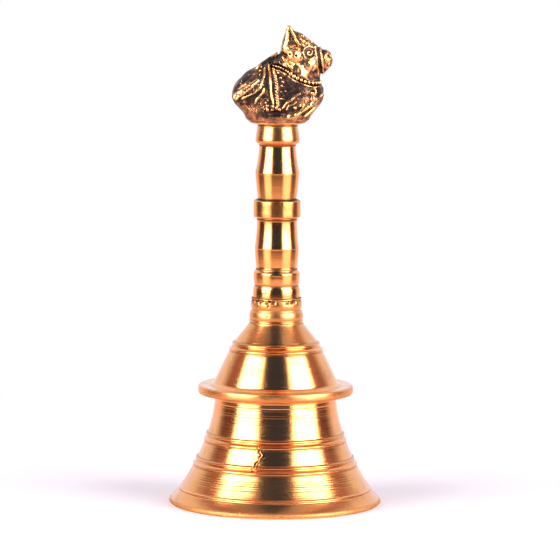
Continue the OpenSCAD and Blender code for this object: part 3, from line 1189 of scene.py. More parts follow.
@dataclass
class BullCasting:
    """The sitting bull: masses first, then ears, eyes, ropes, beads and legs, and a cast skin."""

    step: float = 0.22
    base_z: float = 130.3
    stud_bore_r: float = 2.55
    eye: Pair = (10.5, 24.8)
    beads_seed: int = 5
    grains_seed: int = 17
    bore_depth: float = 6.6
    recess_reach: float = 0.5
    recess_limit: float = 1.4
    relief_limit: float = 2.0
    rubs_and_shade: tuple[RubAndShade, ...] = (
        RubAndShade(5.2, 24.4, 3.0, 3.0), RubAndShade(9.6, 20.2, 4.2, 2.6), RubAndShade(9.2, 27.6, 2.2, 0.9, 0.6),
        # The spot at x 1.9, z 29.4 darkens the ear's outer face: painted shade.
        RubAndShade(3.6, 20.6, 2.0, 1.5), RubAndShade(1.9, 29.4, 1.2, 4.0, -2.9), RubAndShade(-3.6, 22.0, 4.2, 1.6, -2.0),
        RubAndShade(4.1, 24.3, 0.5, 0.5, -0.8), RubAndShade(6.0, 23.9, 0.5, 0.5, -0.8), RubAndShade(5.1, 26.0, 1.8, 0.6, 0.8),
        RubAndShade(-10.4, 12.2, 3.8, 2.0, 0.4), RubAndShade(4.9, 3.4, 2.3, 1.0, 1.2), RubAndShade(11.2, 6.2, 4.2, 3.2, 0.5),
        RubAndShade(0.0, 0.4, 12.0, 0.75, 0.8), RubAndShade(16.6, 22.0, 1.8, 2.8, 0.8), RubAndShade(9.0, 29.0, 5.5, 2.2, 0.5),
        RubAndShade(0.0, 2.0, 11.0, 1.4, 0.4), RubAndShade(-9.5, 5.0, 3.0, 2.4, 0.3),
    )

    def masses(self, clay: Clay) -> None:
        """Base, trunk, haunches, neck and head, blended into one body.

        Args:
            clay: The figure so far.
        """
        clay.add(Hull(), 0.3)
        for shape, blend in (
            (Egg((-8.6, 2.4, 10.6), (6.8, 5.8, 6.4)), 1.0),
            (Egg((-1.5, 0.0, 10.8), (10.5, 8.3, 8.4)), 2.0),
            (Bone((-8.4, 0.0, 14.8), (-3.0, 0.0, 18.6), 3.9, 3.2), 2.0),
            (Egg((6.2, 0.0, 10.8), (8.7, 8.0, 7.6)), 1.6),
            (Egg((10.6, 0.0, 12.0), (4.4, 6.2, 4.6)), 1.2),
            (Egg((-10.6, 3.4, 10.4), (4.6, 4.0, 4.2)), 1.2),
            (Bone((6.6, 0.0, 13.5), (5.8, 0.0, 19.0), 7.2, 5.6), 1.6),
            (Bone((2.0, 0.0, 17.5), (1.6, 0.0, 20.5), 5.0, 3.6), 1.4),
            (Bone((-3.4, 0.0, 19.6), (0.2, 0.0, 22.0), 2.6, 1.8), 0.6),
            (Bone((3.6, 0.0, 20.5), (4.6, 0.0, 25.5), 4.2, 3.6), 0.8),
            (Egg((7.6, 0.0, 23.8), (5.2, 4.6, 5.2)), 0.8),
            (Bone((6.2, 0.0, 29.3), (13.3, 0.0, 24.5), 2.3, 2.1), 1.4),
            (Bone((4.4, 0.0, 31.4), (7.6, 0.0, 29.2), 1.2, 1.7), 0.5),
            (Egg((9.4, 1.7, 20.8), (4.1, 3.3, 3.5)), 0.6),
            (Bone((11.0, 0.0, 22.8), (15.2, 0.0, 22.0), 3.5, 3.0), 1.2),
            (Egg((15.6, 0.0, 22.1), (2.9, 3.2, 3.6)), 0.3),
            (Bone((14.6, 0.0, 19.2), (13.2, 0.0, 18.8), 1.8, 1.8), 0.5),
            (Bone((12.4, 0.0, 15.0), (12.4, 0.0, 18.6), 1.9, 1.9), 0.3),
        ):
            clay.add(shape, blend)

    def ears(self, clay: Clay) -> None:
        """The plate on the hump, upright scooped ears, and below each a shield-shaped lobe with two pits.

        Args:
            clay: The figure so far.
        """
        plate = ((-0.3, 25.2), (-3.6, 22.7), (-6.9, 20.4), (-7.6, 19.2),
                 (-5.0, 18.6), (-1.2, 22.4), (-0.2, 24.0))
        clay.add(Leaf(plate, 0.0, 2.7, 0.25, 0.5), 0.25)
        clay.cut(Bone((-0.6, 4.2, 21.6), (-6.2, 4.6, 18.6), 0.35, 0.35), 0.2)
        clay.add(Bone((3.4, 3.2, 26.4), (3.35, 3.3, 33.6), 2.6, 0.3), 0.3)
        clay.add(Leaf(((7.6, 27.2), (4.1, 33.6), (3.1, 33.7), (2.9, 27.0)), 3.4, 1.3, 0.10, 0.4), 0.25)
        clay.cut(Leaf(((6.9, 27.3), (3.9, 32.8), (3.2, 32.3), (3.0, 27.2)), 5.3, 1.9, 0.10, 0.2), 0.12)
        shield = ((2.2, 26.8), (2.6, 24.6), (4.0, 22.3), (6.0, 21.0), (7.6, 21.8), (8.0, 24.2), (7.6, 26.6))
        clay.add(Leaf(shield, 4.2, 1.7, 0.0, 1.1), 0.2)
        clay.add(Egg((5.2, 5.0, 23.8), (2.1, 1.5, 2.1), -15), 0.5)
        clay.add(Bone((3.7, 5.7, 26.1), (6.8, 5.7, 25.8), 0.6, 0.55), 0.2)
        for x, z, size in ((4.0, 24.3, 0.4), (6.0, 23.9, 0.42)):
            clay.cut(Egg((x, clay.out(x, z), z), (size * 1.2, 1.3, size * 0.85), 25), 0.06)

    def face(self, clay: Clay) -> None:
        """Curled eyes, brow bosses, muzzle bands, nostrils and mouth.

        Args:
            clay: The figure so far.
        """
        ex, ez = self.eye

        def curl(x: Array, y: Array, z: Array) -> Array:
            """A ridge that winds out from the eye's middle, inside a ring.

            Args:
                x: Places along the bull.
                y: Places across it.
                z: Heights.

            Returns:
                How far the skin rises.
            """
            away, turn = np.hypot(x - ex, z - ez), np.arctan2(z - ez, x - ex)
            wind = 0.15 * np.cos(2 * math.pi * away / 1.15 - turn) * (1 - smooth_step(1.1, 1.5, away))
            ring = 0.13 * hump(away, 2.1, 0.3) - 0.16 * hump(away, 1.55, 0.3)
            return (wind + ring) * (y > 2.0)

        clay.swell((ex - 3, 2, ez - 3), (ex + 3, 8, ez + 3), curl)
        brow = ((8.1, 27.5, 0.85), (10.0, 27.8, 0.7), (12.6, 26.4, 0.5), (7.4, 29.2, 0.45),
                (8.2, 30.2, 0.5), (9.6, 29.2, 0.4), (11.3, 28.2, 0.4))
        clay.knobs(brow, (1.2, 1, 0.8), 0.15, -35, 0.15)

        def bands(x: Array, y: Array, z: Array) -> Array:
            """Two ridges round the muzzle, leaning a little forward at the top, with a groove between.

            Args:
                x: Places along the bull.
                y: Places across it.
                z: Heights.

            Returns:
                How far the skin rises.
            """
            lean = x + 0.12 * (z - 22)
            ridge = hump(lean, 13.2, 0.28) + hump(lean, 14.9, 0.28)
            return 0.3 * ridge - 0.3 * hump(lean, 14.1, 0.35) + 0 * y

        clay.swell((12.0, 0, 17.2), (16.2, 6, 27), bands)
        clay.cut(Egg((17.4, 2.2, 23.5), (0.8, 0.8, 0.5), -30), 0.15)
        clay.add(Bone((16.2, 3.0, 24.0), (16.6, 3.0, 21.2), 0.4, 0.35), 0.15)
        clay.add(Bone((17.6, 1.6, 22.4), (17.0, 2.4, 20.6), 0.4, 0.35), 0.15)
        for start, end in (((18.6, 0.0, 20.6), (16.2, 3.2, 20.0)), ((16.2, 3.2, 20.0), (13.4, 4.0, 19.6))):
            clay.cut(Bone(start, end, 0.25, 0.25), 0.12)
        for x, z, turn in ((8.2, 20.7, 0.3), (9.8, 19.4, -0.3), (11.3, 21.0, 0.5),
                           (12.2, 19.6, -0.4), (7.6, 22.4, 0.8)):
            y = clay.out(x, z) + 0.12
            clay.cut(Bone((x - 0.7, y, z + turn), (x + 0.7, y, z - turn), 0.22, 0.12), 0.15)

    def neck(self, clay: Clay) -> None:
        """Folds of the neck, and the collar: a groove with a row of large beads, and a cord below it.

        Args:
            clay: The figure so far.
        """
        folds = ((2.6, 21.9, 1.0), (4.2, 20.0, 0.9), (0.9, 21.0, 0.6), (-0.4, 20.2, 0.5))
        clay.knobs(folds, (2.0, 1, 0.8), 0.35, -48, 0.25)
        row = [(-1.6, 20.2), (0.4, 19.8), (2.4, 18.9), (4.3, 17.6), (5.5, 16.7), (6.8, 16.1),
               (8.3, 15.4), (9.8, 14.9), (11.2, 14.6), (12.7, 14.5), (14.6, 14.5)]
        large = clay.drape(row[3:], 1.42)
        small = clay.drape(row[:4], 1.0)
        for place in clay.drape(row, 0.6):
            clay.cut(Egg(tuple(place), (0.95, 0.6, 0.95)), 0.2)
        sizes = 1 + 0.14 * np.random.default_rng(self.beads_seed).uniform(-1, 1, len(large))
        sizes = np.concatenate([0.68 * sizes, np.full(len(small), 0.42)])
        for place, size in zip(np.vstack([large, small]), sizes):
            clay.add(Egg(tuple(place), (size, size, size * 1.1)), 0.08)
        clay.cord([(x, z - 1.2) for x, z in row], 0.2, 0.05)

    def trappings(self, clay: Clay) -> None:
        """Saddle tape and rope, the cord round the haunch, the chest pendant and a loose tassel.

        Args:
            clay: The figure so far.
        """
        clay.cord([(-3.3, 21.4), (-2.9, 18.4), (-2.5, 14.4), (-2.3, 11.2), (-1.5, 7.2)], 0.4, 0.1)
        saddle = [(-1.7, 19.2), (-1.4, 18.0), (-0.8, 15.4), (-0.3, 12.7), (-0.5, 10.7), (0.2, 6.6)]
        clay.rope(saddle, 0.62, 2.1)
        clay.knobs(((0.0, 17.9, 0.42), (0.9, 16.3, 0.4), (1.6, 15.0, 0.3), (1.2, 13.7, 0.32),
                    (1.0, 11.6, 0.3), (2.5, 11.9, 0.3), (0.9, 9.4, 0.34), (-6.2, 18.6, 0.35),
                    (-6.2, 17.2, 0.3), (-6.9, 15.7, 0.35), (-5.6, 19.8, 0.3), (-3.4, 8.8, 0.3),
                    (-3.5, 6.9, 0.34)))
        for stops, radius, lift in (
            ([(-4.5, 19.6), (-4.7, 16.9), (-5.4, 14.8), (-5.9, 12.9), (-8.0, 11.2), (-9.8, 10.3),
              (-12.7, 9.0)], 0.34, 0.1),
            ([(-4.7, 12.8), (-5.1, 11.2), (-7.1, 9.1), (-7.7, 7.7)], 0.32, 0.05),
            ([(1.7, 6.1), (2.4, 7.2), (3.3, 8.2), (4.8, 8.9), (5.4, 10.0), (6.4, 10.4),
              (7.4, 11.0)], 0.3, 0.1),
            ([(3.0, 5.6), (3.6, 7.0), (5.0, 7.4), (6.2, 8.2)], 0.26, 0.05),
        ):
            clay.cord(stops, radius, lift)
        y = clay.out(11.7, 11.6)
        turns = np.radians(np.arange(0, 361, 20))
        ring = np.stack([11.7 + 1.2 * np.cos(turns), 0 * turns + y + 0.2, 11.6 + 1.2 * np.sin(turns)], 1)
        for a, b in zip(ring[:-1], ring[1:]):
            clay.add(Bone(tuple(a), tuple(b), 0.34, 0.34), 0.1)
        clay.add(Bone((10.2, y, 13.3), (13.0, y - 0.4, 13.1), 0.3, 0.28), 0.1)
        clay.add(Egg((11.7, y + 0.5, 11.2), (0.55, 0.5, 0.5)), 0.1)
        clay.add(Egg((11.8, y + 0.1, 9.2), (1.1, 0.9, 1.0)), 0.12)
        clay.add(Egg((14.6, 0.0, 11.9), (1.0, 1.2, 1.5)), 0.2)

    def legs(self, clay: Clay) -> None:
        """Ringed, hollow-ended tail on the haunch, folded fore legs, hooves and the bay above the base.

        Args:
            clay: The figure so far.
        """
        stops = ((-7.0, 15.2), (-9.3, 13.4), (-11.9, 11.4), (-13.9, 9.9))
        path = [np.array([x, clay.out(x, z) - 0.25, z]) for x, z in stops]
        for i, (a, b) in enumerate(zip(path[:-1], path[1:])):
            clay.add(Bone(tuple(a), tuple(b), 0.75 + 0.2 * i, 0.95 + 0.2 * i), 0.2)
        for share in (0.0, 0.9, 1.8, 3.0, 4.2):
            x, z = -12.8 + share * 0.78, 10.6 + share * 0.6
            y = clay.out(x, z) + 0.15
            clay.cut(Bone((x - 0.75, y, z + 0.95), (x + 0.75, y, z - 0.95), 0.26, 0.26), 0.1)
        x, z = -14.2, 9.7
        y = clay.out(-13.6, 9.9)
        clay.add(Egg((x + 0.2, y - 0.5, z), (1.1, 1.2, 1.15)), 0.4)
        clay.cut(Egg((x - 0.1, y + 0.65, z), (0.6, 0.6, 0.65)), 0.1)
        clay.cut(Egg((-0.6, 9.9, 4.2), (3.8, 2.0, 1.3)), 0.3)
        clay.add(Egg((4.9, 7.6, 3.3), (2.6, 1.5, 1.2), 14), 0.4)
        clay.add(Bone((14.8, 2.2, 10.3), (10.8, 6.9, 7.3), 1.0, 0.95), 0.2)
        clay.add(Bone((10.8, 6.9, 7.3), (6.4, 8.5, 4.0), 0.95, 0.7), 0.2)
        clay.add(Bone((12.4, 5.4, 6.2), (9.2, 7.4, 3.4), 0.45, 0.4), 0.15)
        for row in range(3):
            x, z = -11.6 + 1.15 * row, 8.0 - 0.3 * row
            y = clay.out(x + 1.2, z - 1.6)
            clay.add(Bone((x, y - 0.2, z), (x + 2.4, y + 0.1, z - 3.0), 0.32, 0.28), 0.12)
        clay.knobs(((-3.6, 5.6, 0.45), (-1.6, 6.6, 0.4), (-0.4, 6.1, 0.5), (0.6, 5.7, 0.5),
                    (8.6, 7.0, 0.35), (9.4, 8.4, 0.35), (5.9, 6.2, 0.5), (7.4, 6.9, 0.4)),
                   (1, 1, 1.3), 0.0, 30, 0.12)
        clay.swell((-17, 0, 0), (17, 10, 1.6), lambda x, y, z: 0.3 * hump(z, 0.55, 0.35) + 0 * x * y)

    def grains(self, clay: Clay) -> None:
        """Small granules punched over the back and the flank.

        Args:
            clay: The figure so far.
        """
        chance = np.random.default_rng(self.grains_seed)
        places = np.stack([chance.uniform(-13, -5, 26), chance.uniform(10, 18, 26)], 1)
        places = np.vstack([places, np.stack([chance.uniform(-7, -1, 16), chance.uniform(4, 9, 16)], 1)])
        sides = clay.side(places[:, 0], places[:, 1])
        for (x, z), y, size in zip(places, sides, chance.uniform(0.16, 0.3, len(places))):
            if y > 1.5:
                clay.add(Egg((x, y, z), (size, size, size)), 0.1)

    def rough(self, solid: Array, low: Array) -> Array:
        """The uneven skin of a small sand casting, as smooth noise of two sizes added to the distances.

        Args:
            solid: Signed distances of the whole figure.
            low: The grid's lowest corner.

        Returns:
            The distances with the noise.
        """
        near = np.abs(solid) < 1.2
        places = low + self.step * np.argwhere(near)
        fade = smooth_step(0.2, 1.2, places[:, 2])
        fine = 0.05 + 0.08 * smooth_step(16, 19, places[:, 2]) * smooth_step(1, 3, places[:, 0])
        noise = 0.09 * value_noise(places, 1.9, 51) + fine * value_noise(places, 0.8, 52)
        solid = solid.copy()
        solid[near] += (noise * fade).astype(np.float32)
        return solid

    def build(self, material: Material) -> Piece:
        """Models, skins, dresses and places the bull.

        Args:
            material: Its finish.

        Returns:
            The finished object.
        """
        clay = Clay(self.step)
        self.masses(clay)
        body, _ = clay.whole()
        for stage in (self.grains, self.ears, self.face, self.neck, self.trappings, self.legs):
            stage(clay)
        x, _, z = spread(clay.axes)
        clay.solid = np.maximum(clay.solid, -z).astype(np.float32)
        solid, low = clay.whole()
        solid = self.rough(solid, low)
        full_y = low[1] + self.step * np.arange(solid.shape[1]).reshape(1, -1, 1)
        bore = np.maximum(np.hypot(x, full_y) - self.stud_bore_r, z - self.bore_depth)
        solid = np.maximum(solid, -bore).astype(np.float32)
        points, quads = skin(solid, low, self.step)
        near = np.clip(solid, -self.recess_limit, self.recess_limit)
        place = (points - low) / self.step
        recess = read_grid(near - box_mean(near, max(1, round(self.recess_reach / self.step))), place)
        relief = read_grid(np.clip(body, -self.relief_limit, self.relief_limit), place)
        rub = np.sum([spot.share(points) for spot in self.rubs_and_shade], axis=0)
        points[:, 2] += self.base_z
        piece = build_mesh("bull_casting", points, [quads])
        for name, values in (("recess", recess), ("relief", relief), ("rub", rub)):
            add_attribute(piece, name, values)
        piece.data.materials.append(material)
        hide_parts("bull_finial")
        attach(piece, "bell")
        return piece


# -------------------- Finishes --------------------


class Value:
    """A number that varies over a surface or with direction: a node socket with arithmetic."""

    def __init__(self, nodes: "Nodes", socket: Socket) -> None:
        """Wraps a socket of a node tree."""
        self.nodes, self.socket = nodes, socket

    def calc(self, operation: str, *terms: "Value | float") -> "Value":
        """Adds a Math node.

        Args:
            operation: The node's operation.
            terms: Its inputs, in order.

        Returns:
            The result.
        """
        settings = {"operation": operation}
        return Value(self.nodes, self.nodes.made("ShaderNodeMath", dict(enumerate(terms)), settings))

    def __add__(self, other: "Value | float") -> "Value":
        """Sum."""
        return self.calc("ADD", self, other)

    __radd__ = __add__

    def __sub__(self, other: "Value | float") -> "Value":
        """Difference."""
        return self.calc("SUBTRACT", self, other)

    def __rsub__(self, other: float) -> "Value":
        """Difference from a plain number."""
        return self.calc("SUBTRACT", other, self)

    def __mul__(self, other: "Value | float") -> "Value":
        """Product."""
        return self.calc("MULTIPLY", self, other)

    __rmul__ = __mul__

    def __rtruediv__(self, other: float) -> "Value":
        """A plain number divided by the value."""
        return self.calc("DIVIDE", other, self)

    def __pow__(self, other: float) -> "Value":
        """Power."""
        return self.calc("POWER", self, other)

    def __abs__(self) -> "Value":
        """Size without sign."""
        return self.calc("ABSOLUTE", self)

    def low(self, other: "Value | float") -> "Value":
        """The smaller of two values."""
        return self.calc("MINIMUM", self, other)

    def high(self, other: "Value | float") -> "Value":
        """The larger of two values."""
        return self.calc("MAXIMUM", self, other)

    def clip(self) -> "Value":
        """The value held between 0 and 1."""
        return self.low(1.0).high(0.0)

    def step(self, low: float, high: float) -> "Value":
        """A soft step from 0 at low to 1 at high.

        Args:
            low: Where the step starts.
            high: Where it ends.

        Returns:
            The stepped value.
        """
        ends = {"Value": self, "From Min": low, "From Max": high}
        settings = {"interpolation_type": "SMOOTHSTEP"}
        return Value(self.nodes, self.nodes.made("ShaderNodeMapRange", ends, settings))


class Nodes:
    """A node tree under construction and the one way that nodes are added to it."""

    def __init__(self, tree: bpy.types.NodeTree) -> None:
        """Takes over a node tree."""
        self.tree = tree

    def node(self, kind: str, settings: dict | None = None, inputs: dict | None = None) -> bpy.types.Node:
        """Adds a node.

        Args:
            kind: The node's type.
            settings: Its own settings, set first.
            inputs: Values or links of its sockets, by name or number.

        Returns:
            The node.
        """
        made = self.tree.nodes.new(kind)
        for key, value in (settings or {}).items():
            setattr(made, key, value)
        for key, value in (inputs or {}).items():
            self.feed(made.inputs[key], value)
        return made

    def made(self, kind: str, inputs: dict, settings: dict | None = None) -> Socket:
        """Adds a node and gives its first output."""
        return self.node(kind, settings, inputs).outputs[0]

    def feed(self, socket: Socket, value: "Value | Socket | tuple | float") -> None:
        """Links a socket or sets its plain value.

        Args:
            socket: The input to fill.
            value: A Value, a socket, a number or a tuple.
        """
        source = value.socket if isinstance(value, Value) else value
        if isinstance(source, Socket):
            self.tree.links.new(source, socket)
        elif isinstance(source, tuple) and socket.type == "RGBA" and len(source) == 3:
            socket.default_value = (*source, 1.0)
        else:
            socket.default_value = source

    def parts(self, vector: Socket) -> list[Value]:
        """The three numbers of a vector."""
        node = self.node("ShaderNodeSeparateXYZ", None, {0: vector})
        return [Value(self, out) for out in node.outputs]

    def mix(self, share: Value, first: Colour | Socket, second: Colour | Socket) -> Socket:
        """Colour between two colours.

        Args:
            share: How much of the second colour shows.
            first: The first colour, or the result of another mix.
            second: The second colour.

        Returns:
            The mixed colour's socket.
        """
        node = self.node("ShaderNodeMix", {"data_type": "RGBA"}, {0: share, 6: first, 7: second})
        return node.outputs[2]


class Finish(Nodes):
    """A material under construction."""

    def __init__(self, name: str) -> None:
        """Starts a material with one Principled shader.

        Args:
            name: Name of the material.
        """
        self.material = bpy.data.materials.new(name)
        self.material.use_nodes = True
        super().__init__(self.material.node_tree)
        self.shader = self.tree.nodes["Principled BSDF"]
        self.place = self.node("ShaderNodeTexCoord").outputs["Object"]

    def attribute(self, name: str) -> Value:
        """A number stored on the piece."""
        return Value(self, self.node("ShaderNodeAttribute", {"attribute_name": name}).outputs["Fac"])

    def noise(self, size_mm: float | Colour, detail: float = 2.0, rough: float = 0.5,
              offset: float = 0.0) -> Value:
        """Smooth noise in the piece's own space.

        Args:
            size_mm: Size of one blotch, or its size along each axis, in millimetres.
            detail: Number of finer layers.
            rough: Strength of the finer layers.
            offset: Shift along every axis, so that two patterns differ.

        Returns:
            A value about 0.5.
        """
        sizes = size_mm if isinstance(size_mm, tuple) else (size_mm,) * 3
        scale = tuple(1 / (s * MM) for s in sizes)
        shift = {"Vector": self.place, "Scale": scale, "Location": (offset,) * 3}
        inputs = {"Vector": self.made("ShaderNodeMapping", shift), "Scale": 1.0, "Detail": detail,
                  "Roughness": rough}
        return Value(self, self.node("ShaderNodeTexNoise", None, inputs).outputs["Fac"])

    def bumps(self, *layers: tuple[Value, float]) -> None:
        """Chains bump nodes into the shader's normal.

        Args:
            layers: Pairs of a height value and the depth in millimetres that a change of 1 stands for.
        """
        normal = None
        for height, depth in layers:
            inputs = {"Height": height, "Distance": depth * MM, "Strength": 1.0}
            if normal is not None:
                inputs["Normal"] = normal
            normal = self.made("ShaderNodeBump", inputs)
        self.feed(self.shader.inputs["Normal"], normal)

    def paint(self, **inputs: Value | Socket | float) -> Material:
        """Sets the shader's sockets, with underscores for spaces, and returns the material.

        Args:
            inputs: A value, a socket or a number for each input.

        Returns:
            The material.
        """
        for key, value in inputs.items():
            self.feed(self.shader.inputs[key.replace("_", " ").title().replace("Ior", "IOR")], value)
        return self.material


class Polish(Enum):
    """How far a brass surface has been worked, as the roughness it is left with."""

    MIRROR = 0.11
    SATIN = 0.2
    RAW = 0.36


@dataclass(frozen=True)
class TurnedBrass:
    """Brass off the lathe: rings round the axis, tarnish in blotches, and a dark colour for dirt and painted
    shade where the piece asks for it.
    """

    name: str
    polish: Polish
    bright: Colour = (0.92, 0.41, 0.135)
    warm: Colour = (0.84, 0.33, 0.10)
    tarnish: Colour = (0.20, 0.085, 0.035)
    grime_and_shade: Colour = (0.035, 0.02, 0.012)
    tarnish_share: float = 0.35
    turn_depth: float = 0.012

    def make(self) -> Material:
        """Builds the node tree.

        Returns:
            The material.
        """
        f = Finish(self.name)
        rings = f.noise((40.0, 40.0, 0.22), 3.0, 0.6)
        fine = f.noise((12.0, 12.0, 0.09), 2.0, 0.6, 3.0)
        blotch = f.noise(7.0, 4.0, 0.62, 5.0)
        specks = f.noise(0.55, 3.0, 0.7, 9.0)
        dirt_and_shade, coarse = f.attribute("dirt_and_shade"), f.attribute("coarse")
        spots = specks.step(0.62, 0.74) * blotch.step(0.44, 0.6)
        dull = (self.tarnish_share * blotch.step(0.5, 0.72) + 0.5 * spots).clip()
        colour = f.mix(blotch.step(0.3, 0.7) * 0.5 + rings * 0.25, self.bright, self.warm)
        colour = f.mix(dull * 0.6, colour, self.tarnish)
        colour = f.mix(coarse * (0.2 + 0.5 * specks.step(0.35, 0.75)), colour, self.tarnish)
        # Dirt and painted shade darken seams, grooves, pits and the crack.
        colour = f.mix(dirt_and_shade.clip(), colour, self.grime_and_shade)
        roughness = self.polish.value + 0.08 * rings.step(0.4, 0.8)
        roughness = roughness + 0.16 * dull + 0.35 * dirt_and_shade + 0.40 * coarse
        f.bumps((rings, self.turn_depth), (fine, self.turn_depth * 0.35), (specks.step(0.55, 0.8), -0.008),
                (f.noise(0.8, 3.0, 0.6, 12.0) * (coarse + 0.08), 0.035))
        return f.paint(base_color=colour, metallic=1.0, roughness=roughness)


@dataclass(frozen=True)
class CastBrass:
    """Cast brass darkened with age: bright on raised work and where hands rub, brown elsewhere, with painted
    shade on the ear's outer face.
    """

    name: str = "cast_brass"
    bright: Colour = (0.78, 0.47, 0.19)
    warm: Colour = (0.43, 0.19, 0.09)
    dark: Colour = (0.052, 0.032, 0.028)

    def make(self) -> Material:
        """Builds the node tree.

        Returns:
            The material.
        """
        f = Finish(self.name)
        blotch = f.noise(3.0, 4.0, 0.6, 2.0)
        grain = f.noise(0.45, 3.0, 0.7, 4.0)
        # Wear brightens and patina darkens; the rubbed spots also carry painted shade on the ear's outer
        # face.
        wear_and_shade = 1.3 * f.attribute("relief") + 0.8 * f.attribute("rub") - 3.6 * f.attribute("recess")
        wear_and_shade = wear_and_shade + 1.3 * (blotch - 0.46) + 0.9 * (grain - 0.5)
        colour = f.mix(wear_and_shade.step(0.02, 0.45), self.dark, self.warm)
        colour = f.mix(wear_and_shade.step(0.35, 0.95), colour, self.bright)
        f.bumps((grain, 0.035), (f.noise(1.1, 3.0, 0.6, 8.0), 0.05))
        return f.paint(base_color=colour, metallic=1.0, roughness=0.42 - 0.18 * wear_and_shade.step(0.1, 0.7))


@dataclass(frozen=True)
class TurnedSteel:
    """Plain steel fittings with rings from the tool and brown stains."""

    name: str = "turned_steel"
    bare: Colour = (0.55, 0.54, 0.52)
    stain: Colour = (0.20, 0.13, 0.09)

    def make(self) -> Material:
        """Builds the node tree.

        Returns:
            The material.
        """
        f = Finish(self.name)
        rings = f.noise((6.0, 6.0, 0.18), 3.0, 0.6)
        blotch = f.noise(2.4, 4.0, 0.65, 3.0)
        rust = blotch.step(0.5, 0.7)
        f.bumps((rings, 0.02), (f.noise(0.4, 3.0, 0.6, 6.0), 0.012))
        return f.paint(base_color=f.mix(rust, self.bare, self.stain), metallic=1.0,
                       roughness=0.3 + 0.2 * rings + 0.2 * rust)


# -------------------- Studio --------------------


@dataclass
class Surround:
    """What the brass mirrors: two tall softboxes in front, white behind, dim at the sides, dark in front.

    Azimuth is measured from the camera's side, in degrees, positive to the right.
    Rise is the angle above the horizon, in degrees.
    """

    softbox: float = 9.0
    inner_edge: Pair = (26.5, 42.0)
    outer_edge: Pair = (71.0, 86.0)
    left_shift: float = 7.0
    left_lean: float = 0.33
    right_lean: float = 0.12
    top_edge: Pair = (40.0, 54.0)
    back_edge: Pair = (104.0, 132.0)
    side_edge: Pair = (35.0, 100.0)
    rise_edge: Pair = (8.0, 30.0)
    front: Colour = (0.04, 0.066, 0.15)
    sides: Colour = (0.16, 0.085, 0.12)
    upper_sides: Colour = (0.42, 0.23, 0.28)
    back: Colour = (1.0, 1.06, 1.22)
    white: Colour = (1.0, 0.98, 0.95)
    above: Pair = (0.18, 0.5)

    def azimuth(self, x: Value, y: Value) -> Value:
        """Azimuth of a direction or a place, in degrees."""
        return x.calc("ARCTAN2", x, -1.0 * y) * (180 / math.pi)

    def softboxes(self, turn: Value, rise: Value | float) -> Value:
        """Share of the softboxes' light, from 0 to 1, by azimuth and rise.

        Args:
            turn: Azimuth in degrees.
            rise: Angle above the horizon in degrees.

        Returns:
            The share at each direction.
        """
        away, right = abs(turn), turn.step(-1, 1)
        lean = self.left_lean - right * (self.left_lean - self.right_lean)
        outer = away + self.left_shift * (1.0 - right) - lean * rise
        return away.step(*self.inner_edge) * (1.0 - outer.step(*self.outer_edge))

    def build(self) -> None:
        """Builds the world: the surround for the brass, plain white for the camera."""
        world = bpy.data.worlds.new("room")
        bpy.context.scene.world = world
        world.use_nodes = True
        world.node_tree.nodes.clear()
        n = Nodes(world.node_tree)
        x, y, z = n.parts(n.node("ShaderNodeTexCoord").outputs["Generated"])
        turn = self.azimuth(x, y)
        rise = z.calc("ARCSINE", z) * (180 / math.pi)
        behind = abs(turn).step(*self.back_edge)
        top = rise.step(*self.top_edge)
        beside = n.mix(rise.step(*self.rise_edge), self.sides, self.upper_sides)
        colour = n.mix(abs(turn).step(*self.side_edge), self.front, beside)
        colour = n.mix(behind, colour, self.back)
        above = self.above[0] + (self.above[1] - self.above[0]) * turn.step(-1, 1)
        glow = self.softboxes(turn, rise.high(0.0)) * (self.softbox - top * (self.softbox - above))
        light = n.made("ShaderNodeVectorMath", {0: self.white, "Scale": glow}, {"operation": "SCALE"})
        total = n.made("ShaderNodeVectorMath", {0: colour, 1: light}, {"operation": "ADD"})
        room = n.made("ShaderNodeBackground", {"Color": total})
        plain = n.made("ShaderNodeBackground", {"Color": (1.0, 1.0, 1.0)})
        seen = n.node("ShaderNodeLightPath").outputs["Is Camera Ray"]
        both = n.made("ShaderNodeMixShader", {0: seen, 1: room, 2: plain})
        n.node("ShaderNodeOutputWorld", None, {0: both})


